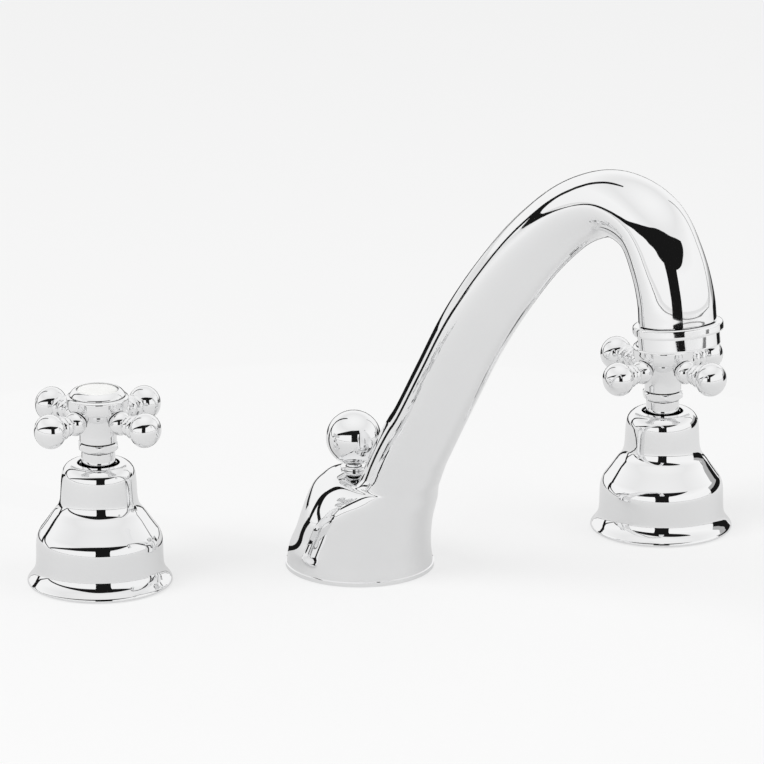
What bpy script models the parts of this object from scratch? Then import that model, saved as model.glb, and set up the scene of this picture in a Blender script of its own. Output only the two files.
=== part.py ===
# Widespread basin faucet: two cross-handle valves, a swan-neck spout and a lift knob
import math

import bmesh
import bpy
import numpy as np
from mathutils import Matrix, Vector

# Units: lengths are metres, angles are degrees until a call needs radians
MM = 0.001

# Deck and layout: the deck's top face is at zero height, the basin is towards minus Y
VALVE_CENTRES = 203.2 * MM
DECK_THICKNESS = 22.0 * MM
SPOUT_SIDE = -11.5 * MM
SPOUT_FORWARD = -8.6 * MM
SPOUT_YAW = -67.0
COLD_YAW = 180.0
HOT_ARM_YAW = 30.5
COLD_ARM_YAW = 27.3
COLLAR_YAW = 18.7

# Fits and facets
CLEARANCE = 0.3 * MM
FACE_GAP = 0.05 * MM
OVERRUN = 3.0 * MM
ROUND_STEPS = 24
HEAD_STEPS = 20
SMALL_STEPS = 14
ARM_STEPS = 10
HOLE_STEPS = 8
SPLINE_STEPS = 20
BOSS_PIECES = 4
BALL_PIECES = 5
POCKET_PIECES = 6
KNOB_PIECES = 10
SMOOTH_ANGLE = 32.0
HALF_TURN = 180.0
CUTTER_OFFSET = 0.37

# Escutcheon bell
BELL_HEIGHT = 42.4 * MM
BELL_RADIUS = 24.8 * MM
BELL_WALL = 1.3 * MM
BELL_HOLE_RADIUS = 7.25 * MM
BELL_LIP = 1.4 * MM
BELL_FOOT_HEIGHT = 9.0 * MM
BELL_CAVITY_RADIUS = 20.6 * MM
SEAL_WIDTH = 1.7 * MM
SEAL_HEIGHT = 2.4 * MM

# Headwork heights, from the bell's top down: sleeve, waist, flange and barrel
SLEEVE_RISE = 4.2 * MM
SLEEVE_LENGTH = 6.6 * MM
SLEEVE_TOP = BELL_HEIGHT + SLEEVE_RISE
BONNET_SHOULDER = SLEEVE_TOP - SLEEVE_LENGTH
BONNET_WAIST_LENGTH = 12.0 * MM
BONNET_FLANGE_TOP = BONNET_SHOULDER - BONNET_WAIST_LENGTH
BONNET_FLANGE_HEIGHT = 3.7 * MM
BARREL_TOP = BONNET_FLANGE_TOP - BONNET_FLANGE_HEIGHT - CLEARANCE

# Valve body and its deck clamp
BARREL_RADIUS = 13.0 * MM
TEE_DROP = 22.0 * MM
TEE_HEIGHT = 28.0 * MM
TEE_TOP = -DECK_THICKNESS - TEE_DROP
TEE_BOTTOM = TEE_TOP - TEE_HEIGHT
TEE_RADIUS = 15.5 * MM
INLET_RADIUS = 10.48 * MM
INLET_LENGTH = 16.0 * MM
INLET_BOTTOM = TEE_BOTTOM - INLET_LENGTH
INLET_BORE_RADIUS = 5.0 * MM
INLET_SOCKET_RADIUS = 7.4 * MM
INLET_SOCKET_DEPTH = 9.0 * MM
THREAD_CHAMFER = 1.0 * MM
OUTLET_HEIGHT = (TEE_TOP + TEE_BOTTOM) / 2.0
OUTLET_RADIUS = 8.33 * MM
OUTLET_REACH = 30.0 * MM
OUTLET_BORE_RADIUS = 4.5 * MM
CHAMBER_RADIUS = 10.3 * MM
CHAMBER_DEPTH = 15.0 * MM
CHAMBER_FLOOR = BARREL_TOP - CHAMBER_DEPTH
CHANNEL_RADIUS = 2.4 * MM
CHANNEL_OFFSET = 8.4 * MM
WASHER_THICKNESS = 2.0 * MM
TOP_WASHER_THICKNESS = 1.5 * MM
TOP_WASHER_GAP = 1.0 * MM
NUT_HEIGHT = 6.0 * MM
TOP_NUT_WALL = 2.2 * MM
UNDER_NUT_WALL = 4.7 * MM
UNDER_WASHER_WIDTH = 8.7 * MM

# Discs and stem, from the chamber's floor up
DISC_CHAMBER_RADIUS = 7.0 * MM
DISC_THICKNESS = 2.1 * MM
DISC_PORT_RADIUS = 1.7 * MM
DISC_PORT_OFFSET = 3.9 * MM
CLOSED_TURN = 90.0
SEAT_SEAL_HEIGHT = 0.8 * MM
STEM_RADIUS = 3.0 * MM
STEM_FOOT_HEIGHT = 2.5 * MM
STEM_TAP_RADIUS = 1.9 * MM
STEM_TAP_DEPTH = 6.0 * MM
SEAT_SEAL_BOTTOM = CHAMBER_FLOOR + CLEARANCE
FIXED_DISC_BOTTOM = SEAT_SEAL_BOTTOM + SEAT_SEAL_HEIGHT + CLEARANCE
TURNING_DISC_BOTTOM = FIXED_DISC_BOTTOM + DISC_THICKNESS + CLEARANCE
STEM_BOTTOM = TURNING_DISC_BOTTOM + DISC_THICKNESS + CLEARANCE
DISC_CHAMBER_TOP = STEM_BOTTOM + STEM_FOOT_HEIGHT + CLEARANCE

# Bonnet and collar nut
BONNET_FOOT_RADIUS = 8.2 * MM
BONNET_FOOT_HEIGHT = 7.6 * MM
BONNET_THREAD_BOTTOM = FIXED_DISC_BOTTOM + BONNET_FOOT_HEIGHT
BONNET_FLANGE_RADIUS = 11.0 * MM
BONNET_WAIST_RADIUS = 9.6 * MM
SLEEVE_RADIUS = 5.75 * MM
SLEEVE_BORE_RADIUS = 4.6 * MM
PACKING_DEPTH = 9.6 * MM
PACKING_FLOOR = SLEEVE_TOP - PACKING_DEPTH
PACKING_HEIGHT = 2.0 * MM
WINDOW_RADIUS = 1.6 * MM
COLLAR_FLATS = 13.2 * MM
COLLAR_HEIGHT = 2.9 * MM
COLLAR_TOP = SLEEVE_TOP + CLEARANCE + COLLAR_HEIGHT
COLLAR_STRAIGHT = 1.7 * MM
COLLAR_TAPER_RADIUS = 6.0 * MM

# Cross handle, from the collar nut up
HUB_SKIRT_RADIUS = 6.35 * MM
HUB_SKIRT_HEIGHT = 2.9 * MM
HUB_SKIRT_TOP = COLLAR_TOP + HUB_SKIRT_HEIGHT
HUB_THROAT_HEIGHT = 9.9 * MM
HEAD_RADIUS = 10.6 * MM
HEAD_BOTTOM = HUB_SKIRT_TOP + HUB_THROAT_HEIGHT
HEAD_HEIGHT = 3.7 * MM
HEAD_TOP = HEAD_BOTTOM + HEAD_HEIGHT
CAP_SEAT_DEPTH = 1.7 * MM
CAP_SEAT_HEIGHT = HEAD_TOP - CAP_SEAT_DEPTH
CAP_SEAT_RADIUS = 9.75 * MM
CAP_RISE = 2.1 * MM
CAP_TOP = HEAD_TOP + CAP_RISE
CAP_SHOULDER_RISE = 0.6 * MM
CAP_SHOULDER = HEAD_TOP + CAP_SHOULDER_RISE
CAP_LEDGE_THICKNESS = 1.5 * MM
BUTTON_RADIUS = 6.95 * MM
BUTTON_CROWN = 0.65 * MM
BUTTON_SPIGOT_RADIUS = 5.2 * MM
HUB_SCREW_RADIUS = 7.0 * MM
HUB_SCREW_DEPTH = 2.5 * MM
HUB_WEB_TOP = CAP_SEAT_HEIGHT - HUB_SCREW_DEPTH
HUB_WEB_THICKNESS = 2.1 * MM
HUB_WEB_BOTTOM = HUB_WEB_TOP - HUB_WEB_THICKNESS
STEM_TOP = HUB_WEB_BOTTOM - CLEARANCE
ARM_RISE = 5.7 * MM
ARM_HEIGHT = HUB_SKIRT_TOP + ARM_RISE
ARM_REACH = 22.6 * MM
ARM_BALL_RADIUS = 5.9 * MM
ARM_BALL_DEPTH = 5.07 * MM
ARM_BOSS_RADIUS = 4.1 * MM
ARM_BOSS_DEPTH = 3.4 * MM
ARM_BOSS_REACH = 10.8 * MM
ARM_NECK_RADIUS = 2.6 * MM
ARM_SPIGOT_RADIUS = 2.0 * MM
ARM_SPIGOT_START = 4.9 * MM
ARM_BALL_START = 43.0
SCREW_HEAD_RADIUS = 3.4 * MM
SCREW_HEAD_HEIGHT = 1.8 * MM
SCREW_RADIUS = 1.6 * MM
SCREW_SLOT_WIDTH = 1.0 * MM
SCREW_SLOT_DEPTH = 0.8 * MM

# Spout
BASE_RADIUS = 25.6 * MM
BASE_BAND = 1.3 * MM
PLATFORM_HEIGHT = 33.7 * MM
NECK_RADIUS = 12.0 * MM
SPOUT_REACH = 158.6 * MM
SPOUT_RISE = 155.3 * MM
RING_STEPS = 24
NECK_RINGS = 28
WATERWAY_RADIUS = 8.4 * MM
WATERWAY_STEPS = 14
WATERWAY_RINGS = 15
BASE_CAVITY_RADIUS = 22.4 * MM
BASE_CAVITY_HEIGHT = 6.0 * MM
SHANK_FORWARD = 12.0 * MM
SHANK_RADIUS = 8.33 * MM
SHANK_BORE_RADIUS = 5.4 * MM
SHANK_LENGTH = 80.0 * MM
SHANK_TOP_DEPTH = 15.7 * MM
SHANK_TOP = PLATFORM_HEIGHT - SHANK_TOP_DEPTH
SHANK_BOTTOM = SHANK_TOP - SHANK_LENGTH
SHANK_NUT_WALL = 1.37 * MM
CLAMP_RADIUS = 24.0 * MM
CLAMP_FORWARD = 5.0 * MM
OUTLET_TILT = 7.4
COLLAR_SEAT_RADIUS = 10.2 * MM
COLLAR_SEAT_DEPTH = 7.0 * MM
BEAD_RADIUS = 14.5 * MM
BEAD_HEIGHT = 3.2 * MM
HOUSING_RADIUS = 13.1 * MM
HOUSING_HEIGHT = 4.4 * MM
HOUSING_BORE_RADIUS = 9.4 * MM
AERATOR_LEDGE_RADIUS = 8.2 * MM
AERATOR_LEDGE_HEIGHT = 1.0 * MM
AERATOR_HEIGHT = 5.0 * MM
AERATOR_HOLE_RADIUS = 1.5 * MM
AERATOR_HOLE_RING = 5.2 * MM
AERATOR_HOLES = 6
AERATOR_WASHER_HEIGHT = 1.8 * MM

# Lift rod and knob
ROD_BACK = -3.2 * MM
ROD_RADIUS = 2.5 * MM
ROD_LENGTH = 154.3 * MM
GUIDE_FLANGE_RADIUS = 4.6 * MM
GUIDE_FLANGE_HEIGHT = 0.8 * MM
GUIDE_RADIUS = 3.9 * MM
GUIDE_LENGTH = 8.0 * MM
KNOB_RADIUS = 9.53 * MM
KNOB_FOOT_RADIUS = 3.2 * MM
KNOB_GAP = 1.1 * MM
GUIDE_TOP = PLATFORM_HEIGHT + FACE_GAP + GUIDE_FLANGE_HEIGHT
KNOB_FOOT_HEIGHT = GUIDE_TOP + KNOB_GAP
KNOB_HEIGHT = KNOB_FOOT_HEIGHT + math.sqrt(KNOB_RADIUS**2 - KNOB_FOOT_RADIUS**2)

# Finishes: label, colour, roughness and metallic value
CHROME = ("chrome", (0.78, 0.79, 0.80, 1.0), 0.06, 1.0)
BRASS = ("brass", (0.72, 0.53, 0.24, 1.0), 0.32, 1.0)
STEEL = ("steel", (0.60, 0.61, 0.62, 1.0), 0.28, 1.0)
RUBBER = ("rubber", (0.035, 0.035, 0.038, 1.0), 0.75, 0.0)
PORCELAIN = ("porcelain", (0.93, 0.93, 0.91, 1.0), 0.12, 0.0)
ALUMINA = ("alumina", (0.88, 0.87, 0.82, 1.0), 0.25, 0.0)
ACETAL = ("acetal", (0.82, 0.83, 0.84, 1.0), 0.45, 0.0)

# Bell outline: radius shares of the foot radius and height shares of the bell height
BELL_SHARES = (
    (0.980, 0.0),
    (1.0, 0.014),
    (0.994, 0.028),
    (0.968, 0.050),
    (0.935, 0.076),
    (0.896, 0.120),
    (0.880, 0.163),
    (0.873, 0.330),
    (0.862, 0.376),
    (0.841, 0.413),
    (0.803, 0.450),
    (0.750, 0.492),
    (0.660, 0.566),
    (0.593, 0.614),
    (0.556, 0.650),
    (0.536, 0.685),
    (0.528, 0.722),
    (0.519, 0.840),
    (0.509, 0.906),
    (0.488, 0.948),
    (0.453, 0.974),
    (0.370, 1.0),
)

# Button crown: radius shares of the button radius, height shares of the crown
CROWN_SHARES = (
    (0.90, 0.33),
    (0.50, 0.85),
    (0.0, 1.0),
)

# Hub outline between skirt and head: radius shares of the head radius, height shares of that span
HUB_SHARES = (
    (0.623, 0.180),
    (0.679, 0.380),
    (0.764, 0.585),
    (0.868, 0.760),
    (0.953, 0.880),
)

# Arm beads: radius shares of the ball radius, distance shares of the reach
BEAD_SHARES = (
    (0.470, 0.612),
    (0.585, 0.650),
    (0.585, 0.690),
    (0.535, 0.717),
    (0.678, 0.752),
    (0.678, 0.788),
    (0.600, 0.815),
)

# Spout body rings: forward, front, rear and half-width shares of the base radius,
# height shares of the platform height, and how far each ring leans forward in degrees
BODY_SHARES = (
    (0.000, 0.000, 1.000, 1.000, 1.000, 0.0),
    (0.000, 0.039, 1.000, 1.000, 1.000, 0.0),
    (0.000, 0.045, 0.984, 0.984, 0.984, 0.0),
    (0.008, 0.208, 0.961, 0.957, 0.949, 0.0),
    (0.078, 0.386, 0.930, 0.922, 0.898, 0.0),
    (0.176, 0.564, 0.891, 0.953, 0.855, 0.0),
    (0.312, 0.712, 0.836, 1.047, 0.805, 0.0),
    (0.449, 0.831, 0.777, 1.125, 0.742, 0.0),
    (0.566, 0.920, 0.704, 1.125, 0.676, 0.0),
    (0.664, 0.976, 0.644, 1.122, 0.618, 0.0),
    (0.723, 0.998, 0.602, 1.068, 0.585, 0.0),
    (0.801, 1.000, 0.529, 0.508, 0.555, 0.0),
    (0.859, 1.083, 0.512, 0.508, 0.536, -6.0),
    (0.957, 1.231, 0.497, 0.504, 0.517, -13.0),
    (1.074, 1.395, 0.484, 0.492, 0.500, -21.0),
    (1.203, 1.555, 0.484, 0.482, 0.484, -27.0),
)

# Neck centre line, from the last body ring to the outlet: forward and height shares of that span,
# radius shares of the neck
NECK_SHARES = (
    (0.030, 0.054, 1.000),
    (0.123, 0.239, 0.985),
    (0.228, 0.443, 0.985),
    (0.350, 0.633, 0.965),
    (0.486, 0.808, 0.935),
    (0.635, 0.944, 0.910),
    (0.777, 1.000, 0.915),
    (0.898, 0.962, 0.970),
    (0.964, 0.849, 1.010),
    (0.993, 0.749, 1.033),
    (1.000, 0.683, 1.042),
)

# Waterway from the shank into the neck: forward shares of the base radius, height shares of the platform
WATERWAY_SHARES = (
    (0.469, 0.438),
    (0.496, 0.576),
    (0.632, 0.820),
    (0.861, 1.083),
)


def clear_scene():
    for item in list(bpy.data.objects):
        bpy.data.objects.remove(item, do_unlink=True)


def material(name, finish):
    label, colour, roughness, metallic = finish
    made = bpy.data.materials.new(name + "_" + label)
    made.use_nodes = True
    made.diffuse_color = colour
    shader = made.node_tree.nodes["Principled BSDF"]
    shader.inputs["Base Color"].default_value = colour
    shader.inputs["Roughness"].default_value = roughness
    shader.inputs["Metallic"].default_value = metallic
    return made


def linked(name, mesh, finish=None):
    item = bpy.data.objects.new(name, mesh)
    bpy.context.scene.collection.objects.link(item)
    if finish is not None:
        mesh.materials.append(material(name, finish))
        mesh.set_sharp_from_angle(angle=math.radians(SMOOTH_ANGLE))
    return item


def mesh_of(name, points, faces):
    mesh = bpy.data.meshes.new(name)
    mesh.from_pydata([tuple(p) for p in points], [], faces)
    work = bmesh.new()
    work.from_mesh(mesh)
    bmesh.ops.recalc_face_normals(work, faces=work.faces)
    for face in work.faces:
        face.smooth = True
    work.to_mesh(mesh)
    work.free()
    return mesh


def rings_mesh(name, rings):
    """A closed skin over equal rings of points, with a flat face at each end."""
    count = len(rings[0])
    points = [p for ring in rings for p in ring]
    faces = [list(range(count)), list(range(len(points) - count, len(points)))]
    for level in range(len(rings) - 1):
        start = level * count
        for step in range(count):
            after = (step + 1) % count
            faces.append([start + step, start + after, start + count + after, start + count + step])
    return mesh_of(name, points, faces)


def turned_mesh(name, outline, steps, offset=0.0):
    """A solid of revolution about Z from a closed outline of (radius, height) points."""
    points = []
    index = []
    for radius, height in outline:
        if radius <= 0.0:
            index.append([len(points)] * steps)
            points.append((0.0, 0.0, height))
            continue
        index.append([len(points) + step for step in range(steps)])
        for step in range(steps):
            angle = 2.0 * math.pi * (step + offset) / steps
            points.append((radius * math.cos(angle), radius * math.sin(angle), height))
    faces = []
    for one, two in zip(index, index[1:] + index[:1]):
        for step in range(steps):
            after = (step + 1) % steps
            corners = [one[step], one[after], two[after], two[step]]
            kept = list(dict.fromkeys(corners))
            if len(kept) > 2:
                faces.append(kept)
    return mesh_of(name, points, faces)


def turned(name, outline, finish, steps=ROUND_STEPS):
    return linked(name, turned_mesh(name, outline, steps), finish)


def hex_corner(flats):
    return flats / (2.0 * math.cos(math.pi / 6.0))


def prism_mesh(name, flats, bottom, top):
    corner = hex_corner(flats)
    rings = []
    for height in (bottom, top):
        ring = []
        for side in range(6):
            angle = math.pi * side / 3.0
            ring.append((corner * math.cos(angle), corner * math.sin(angle), height))
        rings.append(ring)
    return rings_mesh(name, rings)


def box_mesh(name, size, centre):
    work = bmesh.new()
    bmesh.ops.create_cube(work, size=1.0)
    bmesh.ops.scale(work, vec=Vector(size), verts=work.verts)
    bmesh.ops.translate(work, vec=Vector(centre), verts=work.verts)
    mesh = bpy.data.meshes.new(name)
    work.to_mesh(mesh)
    work.free()
    return mesh


def rod_mesh(name, radius, bottom, top, steps=SMALL_STEPS):
    outline = [(0.0, bottom), (radius, bottom), (radius, top), (0.0, top)]
    return turned_mesh(name, outline, steps, CUTTER_OFFSET)


def moved(mesh, matrix):
    mesh.transform(matrix)
    return mesh


def helper(target, mesh, kind):
    item = linked(target.name + "_" + kind + str(len(target.modifiers)), mesh)
    item.hide_render = True
    item.display_type = "WIRE"
    item.parent = target
    return item


def shape(target, mesh, operation):
    modifier = target.modifiers.new(operation.lower(), "BOOLEAN")
    modifier.operation = operation
    modifier.solver = "EXACT"
    modifier.object = helper(target, mesh, operation.lower())


def cut(target, mesh):
    shape(target, mesh, "DIFFERENCE")


def add(target, mesh):
    shape(target, mesh, "UNION")


def keep(target, mesh):
    shape(target, mesh, "INTERSECT")


def tube_outline(inner, outer, bottom, top, chamfer=0.0):
    if chamfer <= 0.0:
        return [(inner, bottom), (outer, bottom), (outer, top), (inner, top)]
    return [
        (inner, bottom),
        (outer - chamfer, bottom),
        (outer, bottom + chamfer),
        (outer, top - chamfer),
        (outer - chamfer, top),
        (inner, top),
    ]


# Valve pieces: each is made about its own axis and then stood in its place

def bell(name):
    outer = [(BELL_RADIUS * r, BELL_HEIGHT * z) for r, z in BELL_SHARES]
    under = BELL_HEIGHT - BELL_LIP
    inner = [(BELL_HOLE_RADIUS, BELL_HEIGHT), (BELL_HOLE_RADIUS, under)]
    for radius, height in reversed(outer):
        if BELL_FOOT_HEIGHT < height < under:
            inner.append((radius - BELL_WALL, height))
    inner.append((BELL_CAVITY_RADIUS, 0.0))
    return turned(name, outer + inner, CHROME)


def ring_seal(name, cavity_radius):
    """A rubber ring on the deck, just inside a foot's cavity."""
    outer = cavity_radius - CLEARANCE
    return turned(name, tube_outline(outer - SEAL_WIDTH, outer, 0.0, SEAL_HEIGHT), RUBBER)


def washer(name, inner, outer, bottom, top, finish):
    return turned(name, tube_outline(inner, outer, bottom, top), finish, HEAD_STEPS)


def nut(name, wall, bore, bottom, top, finish):
    flats = 2.0 * (bore + wall)
    made = linked(name, prism_mesh(name, flats, bottom, top), finish)
    corner = hex_corner(flats)
    drop = corner - flats / 2.0
    chamfered = [
        (0.0, bottom),
        (flats / 2.0, bottom),
        (corner, bottom + drop / 2.0),
        (corner, top - drop / 2.0),
        (flats / 2.0, top),
        (0.0, top),
    ]
    keep(made, turned_mesh(name, chamfered, ROUND_STEPS // 2))
    cut(made, rod_mesh(name, bore, bottom - OVERRUN, top + OVERRUN, HEAD_STEPS))
    return made


def valve_body(name):
    socket = INLET_BOTTOM + INLET_SOCKET_DEPTH
    outline = [
        (INLET_SOCKET_RADIUS, INLET_BOTTOM),
        (INLET_RADIUS - THREAD_CHAMFER, INLET_BOTTOM),
        (INLET_RADIUS, INLET_BOTTOM + THREAD_CHAMFER),
        (INLET_RADIUS, TEE_BOTTOM),
        (TEE_RADIUS - THREAD_CHAMFER, TEE_BOTTOM),
        (TEE_RADIUS, TEE_BOTTOM + THREAD_CHAMFER),
        (TEE_RADIUS, TEE_TOP - THREAD_CHAMFER),
        (TEE_RADIUS - THREAD_CHAMFER, TEE_TOP),
        (BARREL_RADIUS, TEE_TOP),
        (BARREL_RADIUS, BARREL_TOP - THREAD_CHAMFER),
        (BARREL_RADIUS - THREAD_CHAMFER, BARREL_TOP),
        (CHAMBER_RADIUS, BARREL_TOP),
        (CHAMBER_RADIUS, CHAMBER_FLOOR),
        (INLET_BORE_RADIUS, CHAMBER_FLOOR),
        (INLET_BORE_RADIUS, socket),
        (INLET_SOCKET_RADIUS, socket),
    ]
    made = turned(name, outline, BRASS, HEAD_STEPS)
    sideways = Matrix.Translation((0.0, 0.0, OUTLET_HEIGHT)) @ Matrix.Rotation(math.pi / 2.0, 4, "Y")
    stub = [
        (0.0, CHANNEL_OFFSET),
        (OUTLET_RADIUS, CHANNEL_OFFSET),
        (OUTLET_RADIUS, OUTLET_REACH - THREAD_CHAMFER),
        (OUTLET_RADIUS - THREAD_CHAMFER, OUTLET_REACH),
        (0.0, OUTLET_REACH),
    ]
    add(made, moved(turned_mesh(name, stub, SMALL_STEPS), sideways))
    bore = rod_mesh(name, OUTLET_BORE_RADIUS, CHANNEL_OFFSET, OUTLET_REACH + OVERRUN)
    cut(made, moved(bore, sideways))
    channel = rod_mesh(name, CHANNEL_RADIUS, OUTLET_HEIGHT, CHAMBER_FLOOR + OVERRUN, HOLE_STEPS)
    cut(made, moved(channel, Matrix.Translation((CHANNEL_OFFSET, 0.0, 0.0))))
    return made


def bonnet(name):
    thread = CHAMBER_RADIUS - CLEARANCE
    flange_bottom = BARREL_TOP + CLEARANCE
    packing = PACKING_FLOOR
    bore = STEM_RADIUS + CLEARANCE
    outline = [
        (DISC_CHAMBER_RADIUS, FIXED_DISC_BOTTOM),
        (BONNET_FOOT_RADIUS, FIXED_DISC_BOTTOM),
        (BONNET_FOOT_RADIUS, BONNET_THREAD_BOTTOM),
        (thread, BONNET_THREAD_BOTTOM),
        (thread, flange_bottom),
        (BONNET_FLANGE_RADIUS, flange_bottom),
        (BONNET_FLANGE_RADIUS, BONNET_FLANGE_TOP),
        (BONNET_WAIST_RADIUS, BONNET_FLANGE_TOP),
        (BONNET_WAIST_RADIUS, BONNET_SHOULDER - THREAD_CHAMFER),
        (BONNET_WAIST_RADIUS - THREAD_CHAMFER, BONNET_SHOULDER),
        (SLEEVE_RADIUS, BONNET_SHOULDER),
        (SLEEVE_RADIUS, SLEEVE_TOP),
        (SLEEVE_BORE_RADIUS, SLEEVE_TOP),
        (SLEEVE_BORE_RADIUS, packing),
        (bore, packing),
        (bore, DISC_CHAMBER_TOP),
        (DISC_CHAMBER_RADIUS, DISC_CHAMBER_TOP),
    ]
    made = turned(name, outline, CHROME, SMALL_STEPS)
    height = (FIXED_DISC_BOTTOM + BONNET_THREAD_BOTTOM) / 2.0
    across = Matrix.Translation((0.0, 0.0, height)) @ Matrix.Rotation(math.pi / 2.0, 4, "X")
    reach = BONNET_FOOT_RADIUS + OVERRUN
    cut(made, moved(rod_mesh(name, WINDOW_RADIUS, -reach, reach, HOLE_STEPS), across))
    return made


def seat_seal(name):
    outer = DISC_CHAMBER_RADIUS - CLEARANCE
    outline = tube_outline(INLET_BORE_RADIUS, outer, SEAT_SEAL_BOTTOM, SEAT_SEAL_BOTTOM + SEAT_SEAL_HEIGHT)
    return turned(name, outline, RUBBER, SMALL_STEPS)


def ported_disc(name, bottom, turn):
    """A disc with two ports. The valve is open where the ports of both discs line up."""
    top = bottom + DISC_THICKNESS
    radius = DISC_CHAMBER_RADIUS - CLEARANCE
    outline = [(0.0, bottom), (radius, bottom), (radius, top), (0.0, top)]
    made = turned(name, outline, ALUMINA, SMALL_STEPS)
    for side in (-1.0, 1.0):
        port = rod_mesh(name, DISC_PORT_RADIUS, bottom - OVERRUN, top + OVERRUN, HOLE_STEPS)
        place = Matrix.Rotation(math.radians(turn), 4, "Z")
        cut(made, moved(port, place @ Matrix.Translation((side * DISC_PORT_OFFSET, 0.0, 0.0))))
    return made


def stem(name):
    radius = DISC_CHAMBER_RADIUS - CLEARANCE
    foot_top = STEM_BOTTOM + STEM_FOOT_HEIGHT
    outline = [
        (0.0, STEM_BOTTOM),
        (radius, STEM_BOTTOM),
        (radius, foot_top),
        (STEM_RADIUS, foot_top),
        (STEM_RADIUS, STEM_TOP),
        (STEM_TAP_RADIUS, STEM_TOP),
        (STEM_TAP_RADIUS, STEM_TOP - STEM_TAP_DEPTH),
        (0.0, STEM_TOP - STEM_TAP_DEPTH),
    ]
    return turned(name, outline, BRASS, SMALL_STEPS)


def packing(name):
    bottom = PACKING_FLOOR + CLEARANCE
    inner = STEM_RADIUS + CLEARANCE
    outer = SLEEVE_BORE_RADIUS - CLEARANCE
    return turned(name, tube_outline(inner, outer, bottom, bottom + PACKING_HEIGHT), RUBBER, SMALL_STEPS)


def collar_nut(name):
    bottom = SLEEVE_TOP + CLEARANCE
    spigot_bottom = PACKING_FLOOR + PACKING_HEIGHT + 2.0 * CLEARANCE
    turn = Matrix.Rotation(math.radians(COLLAR_YAW), 4, "Z")
    made = linked(name, moved(prism_mesh(name, COLLAR_FLATS, bottom, COLLAR_TOP), turn), CHROME)
    corner = hex_corner(COLLAR_FLATS)
    chamfered = [
        (0.0, bottom),
        (COLLAR_TAPER_RADIUS, bottom),
        (corner, COLLAR_TOP - COLLAR_STRAIGHT),
        (corner, COLLAR_TOP - COLLAR_STRAIGHT / 2.0),
        (COLLAR_FLATS / 2.0, COLLAR_TOP),
        (0.0, COLLAR_TOP),
    ]
    keep(made, turned_mesh(name, chamfered, ROUND_STEPS // 2))
    middle = (bottom + COLLAR_TOP) / 2.0
    add(made, rod_mesh(name, SLEEVE_BORE_RADIUS - CLEARANCE, spigot_bottom, middle))
    bore = STEM_RADIUS + CLEARANCE
    cut(made, rod_mesh(name, bore, spigot_bottom - OVERRUN, COLLAR_TOP + OVERRUN))
    return made


def arm_matrix(turn):
    place = Matrix.Translation((0.0, 0.0, ARM_HEIGHT))
    return place @ Matrix.Rotation(math.radians(turn), 4, "Z") @ Matrix.Rotation(math.pi / 2.0, 4, "Y")


def arc_outline(centre, radius, start, end, pieces, depth=None):
    """Points of an arc about the axis. The depth is its half-length along the axis, where it isn't round."""
    along = radius if depth is None else depth
    points = []
    for piece in range(pieces + 1):
        angle = math.radians(start + (end - start) * piece / pieces)
        points.append((radius * math.sin(angle), centre - along * math.cos(angle)))
    return points


def arm_outline():
    root = math.degrees(math.asin(ARM_SPIGOT_RADIUS / ARM_BOSS_RADIUS))
    neck = math.degrees(math.asin(ARM_NECK_RADIUS / ARM_BOSS_RADIUS))
    outline = [(0.0, ARM_SPIGOT_START), (ARM_SPIGOT_RADIUS, ARM_SPIGOT_START)]
    boss = (ARM_BOSS_REACH, ARM_BOSS_RADIUS, root, HALF_TURN - neck, BOSS_PIECES, ARM_BOSS_DEPTH)
    outline += arc_outline(*boss)
    outline += [(ARM_BALL_RADIUS * r, ARM_REACH * d) for r, d in BEAD_SHARES]
    ball = arc_outline(ARM_REACH, ARM_BALL_RADIUS, ARM_BALL_START, HALF_TURN, BALL_PIECES, ARM_BALL_DEPTH)
    outline += ball[:-1]
    outline.append((0.0, ARM_REACH + ARM_BALL_DEPTH))
    return outline


def arm(name, turn):
    made = turned(name, arm_outline(), CHROME, ARM_STEPS)
    made.data.transform(arm_matrix(turn))
    return made


def hub(name, arm_yaw):
    bottom = COLLAR_TOP + CLEARANCE
    span = HEAD_BOTTOM - HUB_SKIRT_TOP
    bore = STEM_RADIUS + CLEARANCE
    bevel = (HEAD_RADIUS - CAP_SEAT_RADIUS) / 2.0
    outline = [
        (bore, bottom),
        (HUB_SKIRT_RADIUS, bottom),
        (HUB_SKIRT_RADIUS, HUB_SKIRT_TOP),
    ]
    outline += [(HEAD_RADIUS * r, HUB_SKIRT_TOP + span * z) for r, z in HUB_SHARES]
    outline += [
        (HEAD_RADIUS, HEAD_BOTTOM),
        (HEAD_RADIUS, HEAD_TOP - 2.0 * bevel),
        (HEAD_RADIUS - bevel, HEAD_TOP - bevel / 2.0),
        (CAP_SEAT_RADIUS, HEAD_TOP),
        (CAP_SEAT_RADIUS, CAP_SEAT_HEIGHT),
        (HUB_SCREW_RADIUS, CAP_SEAT_HEIGHT),
        (HUB_SCREW_RADIUS, HUB_WEB_TOP),
        (STEM_TAP_RADIUS, HUB_WEB_TOP),
        (STEM_TAP_RADIUS, HUB_WEB_BOTTOM),
        (bore, HUB_WEB_BOTTOM),
    ]
    made = turned(name, outline, CHROME, HEAD_STEPS)
    pocket = ARM_BOSS_RADIUS + CLEARANCE
    depth = ARM_BOSS_DEPTH + CLEARANCE
    socket = ARM_SPIGOT_RADIUS + CLEARANCE
    root = math.degrees(math.asin(socket / pocket))
    tool = [(0.0, ARM_SPIGOT_START - CLEARANCE), (socket, ARM_SPIGOT_START - CLEARANCE)]
    tool += arc_outline(ARM_BOSS_REACH, pocket, root, HALF_TURN, POCKET_PIECES, depth)[:-1]
    tool.append((0.0, ARM_BOSS_REACH + depth))
    for quarter in range(4):
        turn = arm_yaw + 90.0 * quarter
        cut(made, moved(turned_mesh(name, tool, ARM_STEPS), arm_matrix(turn)))
    return made


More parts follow.
